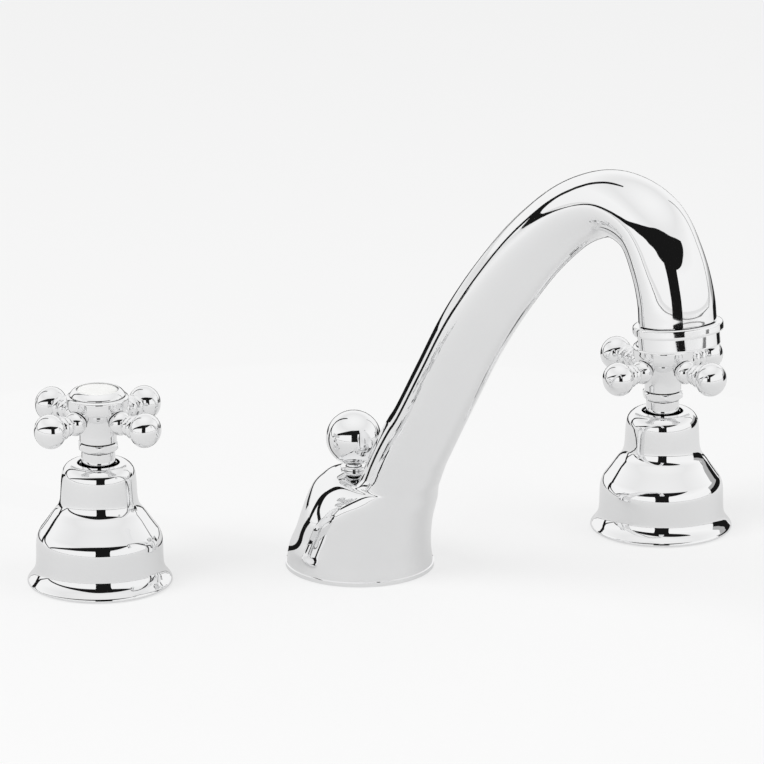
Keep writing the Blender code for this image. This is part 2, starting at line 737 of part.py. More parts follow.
def cap_ring(name):
    outer = CAP_SEAT_RADIUS - CLEARANCE
    bottom = CAP_SEAT_HEIGHT + CLEARANCE
    seat = BUTTON_RADIUS + CLEARANCE
    ledge = BUTTON_SPIGOT_RADIUS + CLEARANCE
    outline = [
        (ledge, bottom),
        (outer, bottom),
        (outer, CAP_SHOULDER - CLEARANCE),
        (outer - CLEARANCE, CAP_SHOULDER),
        ((outer + seat) / 2.0, (CAP_SHOULDER + CAP_TOP) / 2.0 + CLEARANCE),
        (seat + CLEARANCE, CAP_TOP),
        (seat, CAP_TOP),
        (seat, bottom + CAP_LEDGE_THICKNESS),
        (ledge, bottom + CAP_LEDGE_THICKNESS),
    ]
    return turned(name, outline, CHROME, HEAD_STEPS)


def index_button(name):
    ledge = CAP_SEAT_HEIGHT + CAP_LEDGE_THICKNESS + 2.0 * CLEARANCE
    bottom = CAP_SEAT_HEIGHT + CLEARANCE
    outline = [
        (0.0, bottom),
        (BUTTON_SPIGOT_RADIUS, bottom),
        (BUTTON_SPIGOT_RADIUS, ledge),
        (BUTTON_RADIUS, ledge),
        (BUTTON_RADIUS, CAP_TOP - CLEARANCE),
    ]
    outline += [(BUTTON_RADIUS * r, CAP_TOP + BUTTON_CROWN * z) for r, z in CROWN_SHARES]
    return turned(name, outline, PORCELAIN, HEAD_STEPS)


def handle_screw(name):
    seat = HUB_WEB_TOP + CLEARANCE
    tip = STEM_TOP - STEM_TAP_DEPTH + CLEARANCE
    top = seat + SCREW_HEAD_HEIGHT
    outline = [
        (0.0, tip),
        (SCREW_RADIUS, tip),
        (SCREW_RADIUS, seat),
        (SCREW_HEAD_RADIUS, seat),
        (SCREW_HEAD_RADIUS, top),
        (0.0, top),
    ]
    made = turned(name, outline, STEEL, ARM_STEPS)
    length = 2.0 * (SCREW_HEAD_RADIUS + OVERRUN)
    size = (length, SCREW_SLOT_WIDTH, 2.0 * SCREW_SLOT_DEPTH)
    cut(made, box_mesh(name, size, (0.0, 0.0, top)))
    return made


def valve(side, centre, yaw, arm_yaw):
    """All pieces of one valve, stood at its deck hole."""
    under = -DECK_THICKNESS - WASHER_THICKNESS
    hole = BARREL_RADIUS + CLEARANCE
    washer_radius = BELL_CAVITY_RADIUS - CLEARANCE - SEAL_WIDTH - TOP_WASHER_GAP
    top_nut_bottom = TOP_WASHER_THICKNESS + CLEARANCE
    under_nut_top = under - CLEARANCE
    made = [
        bell(side + "_escutcheon"),
        ring_seal(side + "_escutcheon_seal", BELL_CAVITY_RADIUS),
        washer(side + "_top_washer", hole, washer_radius, 0.0, TOP_WASHER_THICKNESS, STEEL),
        nut(side + "_top_nut", TOP_NUT_WALL, hole, top_nut_bottom, top_nut_bottom + NUT_HEIGHT, BRASS),
        valve_body(side + "_valve_body"),
        washer(side + "_under_washer", hole, hole + UNDER_WASHER_WIDTH, under, -DECK_THICKNESS, RUBBER),
        nut(side + "_under_nut", UNDER_NUT_WALL, hole, under_nut_top - NUT_HEIGHT, under_nut_top, BRASS),
        bonnet(side + "_bonnet"),
        seat_seal(side + "_seat_seal"),
        ported_disc(side + "_fixed_disc", FIXED_DISC_BOTTOM, 0.0),
        packing(side + "_stem_packing"),
        collar_nut(side + "_collar_nut"),
        ported_disc(side + "_turning_disc", TURNING_DISC_BOTTOM, CLOSED_TURN),
        stem(side + "_stem"),
        hub(side + "_handle_hub", arm_yaw),
        cap_ring(side + "_cap_ring"),
        index_button(side + "_index_button"),
        handle_screw(side + "_handle_screw"),
    ]
    for quarter in range(4):
        name = side + "_handle_arm_" + str(quarter + 1)
        made.append(arm(name, arm_yaw + 90.0 * quarter))
    for item in made:
        item.location = (centre, 0.0, 0.0)
        item.rotation_euler = (0.0, 0.0, math.radians(yaw))


# Spout pieces: local X runs forward to the outlet, local Z up

def ring_points(forward, height, front, rear, half, lean, steps):
    """One egg-shaped ring: front and rear half-lengths differ, and the plane leans forward."""
    turn = math.radians(lean)
    points = []
    for step in range(steps):
        angle = 2.0 * math.pi * step / steps
        along = math.cos(angle) * (front if math.cos(angle) > 0.0 else rear)
        points.append((
            forward + along * math.cos(turn),
            half * math.sin(angle),
            height + along * math.sin(turn),
        ))
    return points


def spline(knots, count):
    """Evenly spaced points on a smooth curve through the knots."""
    knots = np.array(knots)
    ends = [2.0 * knots[0] - knots[1]], [2.0 * knots[-1] - knots[-2]]
    padded = np.concatenate([ends[0], knots, ends[1]])
    dense = []
    for k in range(len(knots) - 1):
        a, b, c, d = padded[k], padded[k + 1], padded[k + 2], padded[k + 3]
        for t in np.linspace(0.0, 1.0, SPLINE_STEPS, endpoint=False):
            dense.append(0.5 * (2.0 * b + (c - a) * t + (2.0 * a - 5.0 * b + 4.0 * c - d) * t**2
                                + (3.0 * b - a - 3.0 * c + d) * t**3))
    dense.append(knots[-1])
    dense = np.array(dense)
    length = np.concatenate([[0.0], np.cumsum(np.linalg.norm(np.diff(dense[:, :2], axis=0), axis=1))])
    wanted = np.linspace(0.0, length[-1], count)
    return np.stack([np.interp(wanted, length, dense[:, k]) for k in range(dense.shape[1])], axis=1)


def path_rings(path, steps):
    """Round rings square to a path of (forward, height, radius) rows."""
    tangent = np.gradient(path[:, :2], axis=0)
    rings = []
    for (forward, height, radius), (run, climb) in zip(path, tangent):
        lean = math.degrees(math.atan2(climb, run)) - 90.0
        rings.append(ring_points(forward, height, radius, radius, radius, lean, steps))
    return rings


def neck_knots():
    start = BASE_RADIUS * BODY_SHARES[-1][0]
    bottom = PLATFORM_HEIGHT * BODY_SHARES[-1][1]
    run = SPOUT_REACH - start
    climb = SPOUT_RISE - bottom
    return [(start + run * s, bottom + climb * z, NECK_RADIUS * r) for s, z, r in NECK_SHARES]


def outlet_matrix():
    reach, rise, _ = neck_knots()[-1]
    tilt = Matrix.Rotation(-math.radians(OUTLET_TILT), 4, "Y")
    return Matrix.Translation((reach, 0.0, rise)) @ tilt


def body_skin():
    rings = []
    for forward, height, front, rear, half, lean in BODY_SHARES:
        rings.append(ring_points(
            BASE_RADIUS * forward,
            PLATFORM_HEIGHT * height,
            BASE_RADIUS * front,
            BASE_RADIUS * rear,
            BASE_RADIUS * half,
            lean,
            RING_STEPS,
        ))
    neck = path_rings(spline(neck_knots(), NECK_RINGS), RING_STEPS)
    reach, rise, radius = neck_knots()[-1]
    neck[-1] = ring_points(reach, rise, radius, radius, radius, OUTLET_TILT - HALF_TURN, RING_STEPS)
    return rings + neck


def waterway_rings():
    start = [(BASE_RADIUS * s, PLATFORM_HEIGHT * z) for s, z in WATERWAY_SHARES]
    knots = start + [k[:2] for k in neck_knots()]
    path = spline(knots, WATERWAY_RINGS)
    radius = np.full((len(path), 1), WATERWAY_RADIUS)
    return path_rings(np.concatenate([path, radius], axis=1), WATERWAY_STEPS)


def spout_body(name):
    made = linked(name, rings_mesh(name, body_skin()), CHROME)
    cut(made, rings_mesh(name, waterway_rings()))
    seat = rod_mesh(name, COLLAR_SEAT_RADIUS, -OVERRUN, COLLAR_SEAT_DEPTH, RING_STEPS)
    cut(made, moved(seat, outlet_matrix()))
    cut(made, rod_mesh(name, BASE_CAVITY_RADIUS, -OVERRUN, BASE_CAVITY_HEIGHT, RING_STEPS))
    socket = rod_mesh(name, SHANK_RADIUS + CLEARANCE, BASE_CAVITY_HEIGHT - OVERRUN, SHANK_TOP + CLEARANCE)
    cut(made, moved(socket, Matrix.Translation((SHANK_FORWARD, 0.0, 0.0))))
    top = PLATFORM_HEIGHT + OVERRUN
    passage = rod_mesh(name, ROD_RADIUS + 2.0 * CLEARANCE, BASE_CAVITY_HEIGHT - OVERRUN, top, ARM_STEPS)
    cut(made, moved(passage, Matrix.Translation((ROD_BACK, 0.0, 0.0))))
    guide_seat = rod_mesh(name, GUIDE_RADIUS + CLEARANCE, PLATFORM_HEIGHT - GUIDE_LENGTH - CLEARANCE, top, ARM_STEPS)
    cut(made, moved(guide_seat, Matrix.Translation((ROD_BACK, 0.0, 0.0))))
    return made


def spout_shank(name):
    outline = tube_outline(SHANK_BORE_RADIUS, SHANK_RADIUS, SHANK_BOTTOM, SHANK_TOP, THREAD_CHAMFER)
    made = turned(name, outline, BRASS, SMALL_STEPS)
    made.data.transform(Matrix.Translation((SHANK_FORWARD, 0.0, 0.0)))
    return made


def clamp_plate(name, bottom, top, finish):
    outline = [(0.0, bottom), (CLAMP_RADIUS, bottom), (CLAMP_RADIUS, top), (0.0, top)]
    made = turned(name, outline, finish, HEAD_STEPS)
    made.data.transform(Matrix.Translation((CLAMP_FORWARD, 0.0, 0.0)))
    for forward, radius in ((SHANK_FORWARD, SHANK_RADIUS), (ROD_BACK, ROD_RADIUS)):
        hole = rod_mesh(name, radius + 2.0 * CLEARANCE, bottom - OVERRUN, top + OVERRUN)
        cut(made, moved(hole, Matrix.Translation((forward, 0.0, 0.0))))
    return made


def shank_nut(name, top):
    made = nut(name, SHANK_NUT_WALL, SHANK_RADIUS + CLEARANCE, top - NUT_HEIGHT, top, BRASS)
    shift = Matrix.Translation((SHANK_FORWARD, 0.0, 0.0))
    made.data.transform(shift)
    for modifier in made.modifiers:
        modifier.object.data.transform(shift)
    return made


def outlet_collar(name):
    spigot = COLLAR_SEAT_RADIUS - CLEARANCE
    top = -CLEARANCE
    round_over = BEAD_HEIGHT / 4.0
    bead_bottom = top - BEAD_HEIGHT
    bottom = bead_bottom - HOUSING_HEIGHT
    outline = [
        (AERATOR_LEDGE_RADIUS, bottom),
        (HOUSING_RADIUS - CLEARANCE, bottom),
        (HOUSING_RADIUS, bottom + CLEARANCE),
        (HOUSING_RADIUS, bead_bottom),
        (BEAD_RADIUS - round_over, bead_bottom),
        (BEAD_RADIUS, bead_bottom + round_over),
        (BEAD_RADIUS, top - round_over),
        (BEAD_RADIUS - round_over, top),
        (spigot, top),
        (spigot, COLLAR_SEAT_DEPTH - CLEARANCE),
        (HOUSING_BORE_RADIUS, COLLAR_SEAT_DEPTH - CLEARANCE),
        (HOUSING_BORE_RADIUS, bottom + AERATOR_LEDGE_HEIGHT),
        (AERATOR_LEDGE_RADIUS, bottom + AERATOR_LEDGE_HEIGHT),
    ]
    made = turned(name, outline, CHROME)
    made.data.transform(outlet_matrix())
    return made


def aerator_bottom():
    return -BEAD_HEIGHT - HOUSING_HEIGHT + AERATOR_LEDGE_HEIGHT


def aerator_insert(name):
    bottom = aerator_bottom()
    top = bottom + AERATOR_HEIGHT
    radius = HOUSING_BORE_RADIUS - CLEARANCE
    outline = [(0.0, bottom), (radius, bottom), (radius, top), (0.0, top)]
    made = turned(name, outline, ACETAL, SMALL_STEPS)
    for place in range(AERATOR_HOLES + 1):
        ring = AERATOR_HOLE_RING if place else 0.0
        angle = 2.0 * math.pi * place / AERATOR_HOLES
        hole = rod_mesh(name, AERATOR_HOLE_RADIUS, bottom - OVERRUN, top + OVERRUN, HOLE_STEPS)
        cut(made, moved(hole, Matrix.Translation((ring * math.cos(angle), ring * math.sin(angle), 0.0))))
    matrix = outlet_matrix()
    made.data.transform(matrix)
    for modifier in made.modifiers:
        modifier.object.data.transform(matrix)
    return made


def aerator_washer(name):
    bottom = aerator_bottom() + AERATOR_HEIGHT + CLEARANCE
    outer = HOUSING_BORE_RADIUS - CLEARANCE
    outline = tube_outline(AERATOR_HOLE_RING + AERATOR_HOLE_RADIUS, outer, bottom, bottom + AERATOR_WASHER_HEIGHT)
    made = turned(name, outline, RUBBER, SMALL_STEPS)
    made.data.transform(outlet_matrix())
    return made


def rod_guide(name):
    bottom = PLATFORM_HEIGHT - GUIDE_LENGTH
    flange_bottom = PLATFORM_HEIGHT + FACE_GAP
    outline = [
        (ROD_RADIUS + CLEARANCE, bottom),
        (GUIDE_RADIUS, bottom),
        (GUIDE_RADIUS, flange_bottom),
        (GUIDE_FLANGE_RADIUS, flange_bottom),
        (GUIDE_FLANGE_RADIUS, flange_bottom + GUIDE_FLANGE_HEIGHT),
        (ROD_RADIUS + CLEARANCE, flange_bottom + GUIDE_FLANGE_HEIGHT),
    ]
    made = turned(name, outline, CHROME, SMALL_STEPS)
    made.data.transform(Matrix.Translation((ROD_BACK, 0.0, 0.0)))
    return made


def lift_rod(name):
    top = KNOB_HEIGHT - CLEARANCE
    bottom = top - ROD_LENGTH
    outline = [
        (0.0, bottom),
        (ROD_RADIUS - CLEARANCE, bottom),
        (ROD_RADIUS, bottom + THREAD_CHAMFER),
        (ROD_RADIUS, top),
        (0.0, top),
    ]
    return turned(name, outline, CHROME, ARM_STEPS)


def lift_knob(name):
    start = math.degrees(math.asin(KNOB_FOOT_RADIUS / KNOB_RADIUS))
    hole = ROD_RADIUS + CLEARANCE
    outline = arc_outline(KNOB_HEIGHT, KNOB_RADIUS, start, HALF_TURN, KNOB_PIECES)[:-1]
    outline += [(0.0, KNOB_HEIGHT + KNOB_RADIUS), (0.0, KNOB_HEIGHT), (hole, KNOB_HEIGHT), (hole, KNOB_FOOT_HEIGHT)]
    return turned(name, outline, CHROME)


def spout():
    """All pieces of the spout, stood over the middle deck hole and turned as in the photo."""
    gasket_bottom = -DECK_THICKNESS - WASHER_THICKNESS
    plate_bottom = gasket_bottom - WASHER_THICKNESS
    made = [
        spout_body("spout_body"),
        ring_seal("spout_seal", BASE_CAVITY_RADIUS),
        spout_shank("spout_shank"),
        clamp_plate("spout_under_gasket", gasket_bottom, -DECK_THICKNESS, RUBBER),
        clamp_plate("spout_clamp_plate", plate_bottom, gasket_bottom - CLEARANCE, STEEL),
        shank_nut("spout_shank_nut", plate_bottom - CLEARANCE),
        outlet_collar("spout_outlet_collar"),
        aerator_insert("spout_aerator_insert"),
        aerator_washer("spout_aerator_washer"),
        rod_guide("lift_rod_guide"),
    ]
    for item in made:
        item.location = (SPOUT_SIDE, SPOUT_FORWARD, 0.0)
        item.rotation_euler = (0.0, 0.0, math.radians(SPOUT_YAW))
    forward = Vector((math.cos(math.radians(SPOUT_YAW)), math.sin(math.radians(SPOUT_YAW)), 0.0))
    for item in (lift_rod("lift_rod"), lift_knob("lift_knob")):
        item.location = Vector((SPOUT_SIDE, SPOUT_FORWARD, 0.0)) + ROD_BACK * forward


def main():
    clear_scene()
    valve("hot", -VALVE_CENTRES / 2.0, 0.0, HOT_ARM_YAW)
    valve("cold", VALVE_CENTRES / 2.0, COLD_YAW, COLD_ARM_YAW)
    spout()


main()
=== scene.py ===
# Looks of the widespread basin faucet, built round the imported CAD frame
import math

import bmesh
import bpy
import numpy as np
from mathutils import Matrix, Vector


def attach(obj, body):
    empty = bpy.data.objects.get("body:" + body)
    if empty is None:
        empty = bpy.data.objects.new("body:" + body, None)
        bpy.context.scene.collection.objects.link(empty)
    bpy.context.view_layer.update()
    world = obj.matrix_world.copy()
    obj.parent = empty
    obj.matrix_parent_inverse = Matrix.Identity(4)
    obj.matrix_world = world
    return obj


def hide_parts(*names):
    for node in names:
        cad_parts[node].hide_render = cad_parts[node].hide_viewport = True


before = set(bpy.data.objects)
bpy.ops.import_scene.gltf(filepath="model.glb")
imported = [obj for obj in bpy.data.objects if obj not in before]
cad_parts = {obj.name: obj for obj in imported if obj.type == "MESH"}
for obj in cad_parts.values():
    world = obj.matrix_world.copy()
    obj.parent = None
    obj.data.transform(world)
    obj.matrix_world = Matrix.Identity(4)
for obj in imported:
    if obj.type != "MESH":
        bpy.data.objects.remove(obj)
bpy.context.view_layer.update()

# Units: lengths are metres, angles are degrees until a call needs radians.
# Profiles are written in millimetres and go through in_metres()
MM = 0.001

# Camera: on the photo's side of the object, looking down on it
VIEW_TURN = 17.0
VIEW_RISE = 17.0
VIEW_DISTANCE = 2.020
VIEW_AIM = (-0.00086, 0.0, 0.0618)
VIEW_REACH = 100.0
LENS = 277.07
SENSOR = 36.0

# Layout, repeated from the CAD source
VALVE_PLACE = 101.6 * MM
SPOUT_PLACE = (-11.5 * MM, -8.6 * MM)
SPOUT_YAW = -67.0
# Each side: centre, turn of the valve, turn of its handle arms
SIDES = (("hot", -VALVE_PLACE, 0.0, 30.5), ("cold", VALVE_PLACE, 180.0, 27.3))
ARM_COUNT = 4
COLLAR_YAW = 18.7
CLEARANCE = 0.3 * MM

# Smoothness of the visible meshes: steps round a piece, and pieces along each curve
TURN_STEPS = 96
FINE_STEPS = 72
ARM_STEPS = 48
JET_STEPS = 32
CURVE_PIECES = 7
FILLET_PIECES = 5
BOSS_PIECES = 24
POCKET_PIECES = 20
BALL_PIECES = 34
KNOB_PIECES = 60
SMOOTH_ANGLE = 30.0

# A cutter is turned by this share of a step, so that its edges miss those of what it cuts
CUTTER_TURN = 0.37
# An edge runs flat for this length, or this share of it, before its fillet starts
SUPPORT_LENGTH = 0.25 * MM
SUPPORT_SHARE = 0.25
# Points closer than this are one, and a radius below the other value is a pole
WELD_GAP = 1e-7
POLE_RADIUS = 1e-9


def make_camera():
    data = bpy.data.cameras.new("camera")
    data.lens = LENS
    data.sensor_width = SENSOR
    data.clip_end = VIEW_REACH
    camera = bpy.data.objects.new("camera", data)
    bpy.context.scene.collection.objects.link(camera)
    turn = math.radians(VIEW_TURN)
    rise = math.radians(VIEW_RISE)
    flat = math.cos(rise)
    away = Vector((-math.sin(turn) * flat, -math.cos(turn) * flat, math.sin(rise)))
    camera.location = Vector(VIEW_AIM) + VIEW_DISTANCE * away
    camera.rotation_euler = (math.pi / 2.0 - rise, 0.0, -turn)
    bpy.context.scene.camera = camera


make_camera()


# Mesh helpers

def in_metres(profile):
    return [tuple(value * MM for value in item) for item in profile]


def smooth_curve(knots, pieces):
    """Points on a smooth curve through the knots. Its speed fits their spacing in the first two values."""
    knots = np.array(knots, dtype=float)
    if len(knots) < 3:
        return knots
    first = 2.0 * knots[0] - knots[1]
    last = 2.0 * knots[-1] - knots[-2]
    padded = np.vstack([first, knots, last])
    gaps = np.maximum(np.linalg.norm(np.diff(padded[:, :2], axis=0), axis=1), WELD_GAP) ** 0.5
    times = np.concatenate([[0.0], np.cumsum(gaps)])
    made = []
    for k in range(1, len(padded) - 2):
        p0, p1, p2, p3 = padded[k - 1:k + 3]
        t0, t1, t2, t3 = times[k - 1:k + 3]
        for t in np.linspace(t1, t2, pieces, endpoint=False):
            a1 = (t1 - t) / (t1 - t0) * p0 + (t - t0) / (t1 - t0) * p1
            a2 = (t2 - t) / (t2 - t1) * p1 + (t - t1) / (t2 - t1) * p2
            a3 = (t3 - t) / (t3 - t2) * p2 + (t - t2) / (t3 - t2) * p3
            b1 = (t2 - t) / (t2 - t0) * a1 + (t - t0) / (t2 - t0) * a2
            b2 = (t3 - t) / (t3 - t1) * a2 + (t - t1) / (t3 - t1) * a3
            made.append((t2 - t) / (t2 - t1) * b1 + (t - t1) / (t2 - t1) * b2)
    made.append(knots[-1])
    return np.array(made)


def smooth_path(knots, pieces):
    """Points on a smooth curve through the knots. Its slopes fit their spacing in all three values."""
    knots = np.array(knots, dtype=float)
    lengths = np.concatenate([[0.0], np.cumsum(np.linalg.norm(np.diff(knots, axis=0), axis=1))])
    slopes = np.gradient(knots, lengths, axis=0)
    made = []
    for k in range(len(knots) - 1):
        gap = lengths[k + 1] - lengths[k]
        for t in np.linspace(0.0, 1.0, pieces, endpoint=False):
            start = (2 * t ** 3 - 3 * t ** 2 + 1) * knots[k] + (t ** 3 - 2 * t ** 2 + t) * gap * slopes[k]
            end = (3 * t ** 2 - 2 * t ** 3) * knots[k + 1] + (t ** 3 - t ** 2) * gap * slopes[k + 1]
            made.append(start + end)
    made.append(knots[-1])
    return np.array(made)


def shortened(points, cut, at_end):
    """The points without the last (or first) stretch of that length."""
    line = [np.array(p, dtype=float) for p in (points if at_end else points[::-1])]
    left = cut
    while len(line) > 1:
        step = np.linalg.norm(line[-1] - line[-2])
        if step > left:
            line[-1] = line[-1] + (line[-2] - line[-1]) * (left / step)
            break
        left -= step
        line.pop()
    return line if at_end else line[::-1]


def supported(points):
    """A straight stretch with an extra point near each end, so that its shading stays flat."""
    if len(points) != 2:
        return points
    a, b = points
    length = np.linalg.norm(b - a)
    share = min(SUPPORT_SHARE, SUPPORT_LENGTH / max(length, POLE_RADIUS))
    return [a, a + (b - a) * share, b + (a - b) * share, b]


def outline(items, closed=True):
    """A profile through (radius, height) knots, smooth between (radius, height, fillet) corners."""
    corners = [k for k, item in enumerate(items) if len(item) == 3]
    count = len(items)
    runs = []
    spans = list(zip(corners, corners[1:]))
    if closed:
        spans.append((corners[-1], corners[0] + count))
    for start, end in spans:
        knots = [items[k % count][:2] for k in range(start, end + 1)]
        line = smooth_curve(knots, CURVE_PIECES)
        runs.append([start % count, end % count, [np.array(p) for p in line]])
    for run in runs:
        for corner, at_end in ((run[0], False), (run[1], True)):
            fillet = items[corner][2]
            if fillet > 0.0:
                run[2] = shortened(run[2], fillet, at_end)
        run[2] = supported(run[2])
    points = []
    for k, (start, end, line) in enumerate(runs):
        points += line
        if not closed and k == len(runs) - 1:
            break
        fillet = items[end][2]
        if fillet > 0.0:
            corner = np.array(items[end][:2])
            follow = runs[(k + 1) % len(runs)][2][0]
            for t in np.linspace(0.0, 1.0, FILLET_PIECES + 1)[1:-1]:
                points.append((1 - t) ** 2 * line[-1] + 2 * t * (1 - t) * corner + t * t * follow)
        else:
            points.pop()
    return points


def mesh_from(name, points, faces):
    mesh = bpy.data.meshes.new(name)
    mesh.from_pydata([tuple(p) for p in points], [], faces)
    work = bmesh.new()
    work.from_mesh(mesh)
    bmesh.ops.remove_doubles(work, verts=work.verts, dist=WELD_GAP)
    bmesh.ops.recalc_face_normals(work, faces=work.faces)
    for face in work.faces:
        face.smooth = True
    work.to_mesh(mesh)
    work.free()
    mesh.set_sharp_from_angle(angle=math.radians(SMOOTH_ANGLE))
    return mesh


def lathe(name, profile, steps=TURN_STEPS, offset=0.0):
    """A solid of revolution about Z. A point at zero radius becomes a pole."""
    points = []
    index = []
    for radius, height in profile:
        if radius <= POLE_RADIUS:
            index.append([len(points)] * steps)
            points.append((0.0, 0.0, height))
            continue
        index.append([len(points) + s for s in range(steps)])
        for s in range(steps):
            angle = 2.0 * math.pi * (s + offset) / steps
            points.append((radius * math.cos(angle), radius * math.sin(angle), height))
    faces = []
    for one, two in zip(index, index[1:] + index[:1]):
        for s in range(steps):
            after = (s + 1) % steps
            kept = list(dict.fromkeys([one[s], one[after], two[after], two[s]]))
            if len(kept) > 2:
                faces.append(kept)
    return mesh_from(name, points, faces)


def turned(name, profile, steps=TURN_STEPS):
    """A solid of revolution about Z, from a closed profile in millimetres."""
    return lathe(name, outline(in_metres(profile)), steps)


def skin(name, rings):
    """A closed skin over equal rings of points, capped at both ends."""
    count = len(rings[0])
    points = [p for ring in rings for p in ring]
    faces = [list(range(count)), list(range(len(points) - count, len(points)))]
    for level in range(len(rings) - 1):
        start = level * count
        for s in range(count):
            after = (s + 1) % count
            faces.append([start + s, start + after, start + count + after, start + count + s])
    return mesh_from(name, points, faces)


def rod(name, radius, bottom, top, steps=ARM_STEPS, x=0.0, y=0.0):
    """A round cutter that stands upright."""
    profile = [(0.0, bottom), (radius, bottom), (radius, top), (0.0, top)]
    mesh = lathe(name, profile, steps, CUTTER_TURN)
    mesh.transform(Matrix.Translation((x, y, 0.0)))
    return mesh


def carved(mesh, tools):
    """The mesh with the tools' shapes cut from it, as a mesh of its own."""
    scene = bpy.context.scene
    base = bpy.data.objects.new("base", mesh)
    scene.collection.objects.link(base)
    helpers = []
    for tool in tools:
        helper = bpy.data.objects.new("tool", tool)
        scene.collection.objects.link(helper)
        helpers.append(helper)
        modifier = base.modifiers.new("cut", "BOOLEAN")
        modifier.operation = "DIFFERENCE"
        modifier.solver = "EXACT"
        modifier.object = helper
    graph = bpy.context.evaluated_depsgraph_get()
    made = bpy.data.meshes.new_from_object(base.evaluated_get(graph), depsgraph=graph)
    for item in helpers + [base]:
        bpy.data.objects.remove(item, do_unlink=True)
    made.set_sharp_from_angle(angle=math.radians(SMOOTH_ANGLE))
    return made


# Materials

def grey(value):
    return (value, value, value, 1.0)


def new_material(name, colour, roughness, metallic):
    made = bpy.data.materials.new(name)
    made.use_nodes = True
    shader = made.node_tree.nodes["Principled BSDF"]
    shader.inputs["Base Color"].default_value = colour
    shader.inputs["Roughness"].default_value = roughness
    shader.inputs["Metallic"].default_value = metallic
    return made, made.node_tree, shader


def node(tree, kind, **settings):
    made = tree.nodes.new(kind)
    for key, value in settings.items():
        setattr(made, key, value)
    return made


def noise(tree, scale, detail, roughness=0.5, distortion=0.0, stretch=(1.0, 1.0, 1.0)):
    """A noise pattern in the piece's own coordinates."""
    coordinates = node(tree, "ShaderNodeTexCoord")
    mapping = node(tree, "ShaderNodeMapping")
    mapping.inputs["Scale"].default_value = stretch
    made = node(tree, "ShaderNodeTexNoise")
    made.inputs["Scale"].default_value = scale
    made.inputs["Detail"].default_value = detail
    made.inputs["Roughness"].default_value = roughness
    made.inputs["Distortion"].default_value = distortion
    tree.links.new(coordinates.outputs["Object"], mapping.inputs["Vector"])
    tree.links.new(mapping.outputs["Vector"], made.inputs["Vector"])
    return made.outputs["Fac"]


def ranged(tree, value, low, high, start=0.0, end=1.0):
    """Runs from low to high while the value runs from start to end."""
    made = node(tree, "ShaderNodeMapRange")
    made.inputs["From Min"].default_value = start
    made.inputs["From Max"].default_value = end
    made.inputs["To Min"].default_value = low
    made.inputs["To Max"].default_value = high
    tree.links.new(value, made.inputs["Value"])
    return made.outputs["Result"]


def blend_colours(tree, factor, one, two):
    made = node(tree, "ShaderNodeMix", data_type="RGBA")
    made.inputs[6].default_value = one
    made.inputs[7].default_value = two
    tree.links.new(factor, made.inputs[0])
    return made.outputs[2]


def tinted(tree, shader, pattern, start, end, one, two):
    """The base colour runs from one to two while the pattern runs from start to end."""
    tint = blend_colours(tree, ranged(tree, pattern, 0.0, 1.0, start, end), one, two)
    tree.links.new(tint, shader.inputs["Base Color"])


def roughened(tree, shader, pattern, low, high, start=0.0, end=1.0):
    tree.links.new(ranged(tree, pattern, low, high, start, end), shader.inputs["Roughness"])


def bumped(tree, shader, height, strength, distance):
    made = node(tree, "ShaderNodeBump")
    made.inputs["Strength"].default_value = strength
    made.inputs["Distance"].default_value = distance
    tree.links.new(height, made.inputs["Height"])
    tree.links.new(made.outputs["Normal"], shader.inputs["Normal"])


def chrome():
    """Bright plated chrome: a mirror with a faint haze of wiping marks and a slight wave."""
    made, tree, shader = new_material("polished_chrome", (0.89, 0.89, 0.895, 1.0), 0.03, 1.0)
    roughened(tree, shader, noise(tree, 38.0, 5.0, 0.6, 0.4), 0.012, 0.060, 0.42, 0.78)
    film = noise(tree, 14.0, 3.0)
    tinted(tree, shader, film, 0.35, 0.7, (0.880, 0.882, 0.886, 1.0), (0.905, 0.906, 0.909, 1.0))
    bumped(tree, shader, noise(tree, 160.0, 2.0), 0.012, 0.0004)
    return made


def porcelain():
    """White porcelain under a clear glaze."""
    made, tree, shader = new_material("porcelain", (0.93, 0.93, 0.91, 1.0), 0.10, 0.0)
    cloud = noise(tree, 220.0, 4.0)
    tinted(tree, shader, cloud, 0.3, 0.7, (0.905, 0.905, 0.885, 1.0), (0.935, 0.935, 0.92, 1.0))
    roughened(tree, shader, noise(tree, 500.0, 3.0), 0.06, 0.14)
    shader.inputs["Coat Weight"].default_value = 0.6
    shader.inputs["Coat Roughness"].default_value = 0.04
    bumped(tree, shader, noise(tree, 320.0, 2.0), 0.03, 0.0003)
    return made


def brass():
    """Machined brass: turning marks run round the piece, with darker tarnish in patches."""
    made, tree, shader = new_material("brass", (0.72, 0.53, 0.24, 1.0), 0.30, 1.0)
    patches = noise(tree, 60.0, 6.0, 0.6, 0.6)
    tinted(tree, shader, patches, 0.38, 0.72, (0.76, 0.57, 0.27, 1.0), (0.58, 0.40, 0.17, 1.0))
    marks = noise(tree, 40.0, 3.0, 0.5, 0.0, (1.0, 1.0, 40.0))
    roughened(tree, shader, marks, 0.22, 0.42, 0.3, 0.7)
    bumped(tree, shader, marks, 0.12, 0.0002)
    return made


def steel():
    """Brushed stainless steel."""
    made, tree, shader = new_material("stainless_steel", (0.60, 0.61, 0.62, 1.0), 0.28, 1.0)
    grain = noise(tree, 60.0, 4.0, 0.5, 0.0, (1.0, 18.0, 1.0))
    roughened(tree, shader, grain, 0.20, 0.38, 0.3, 0.7)
    cloud = noise(tree, 90.0, 5.0)
    tinted(tree, shader, cloud, 0.35, 0.7, (0.62, 0.63, 0.64, 1.0), (0.52, 0.53, 0.545, 1.0))
    bumped(tree, shader, grain, 0.08, 0.0002)
    return made


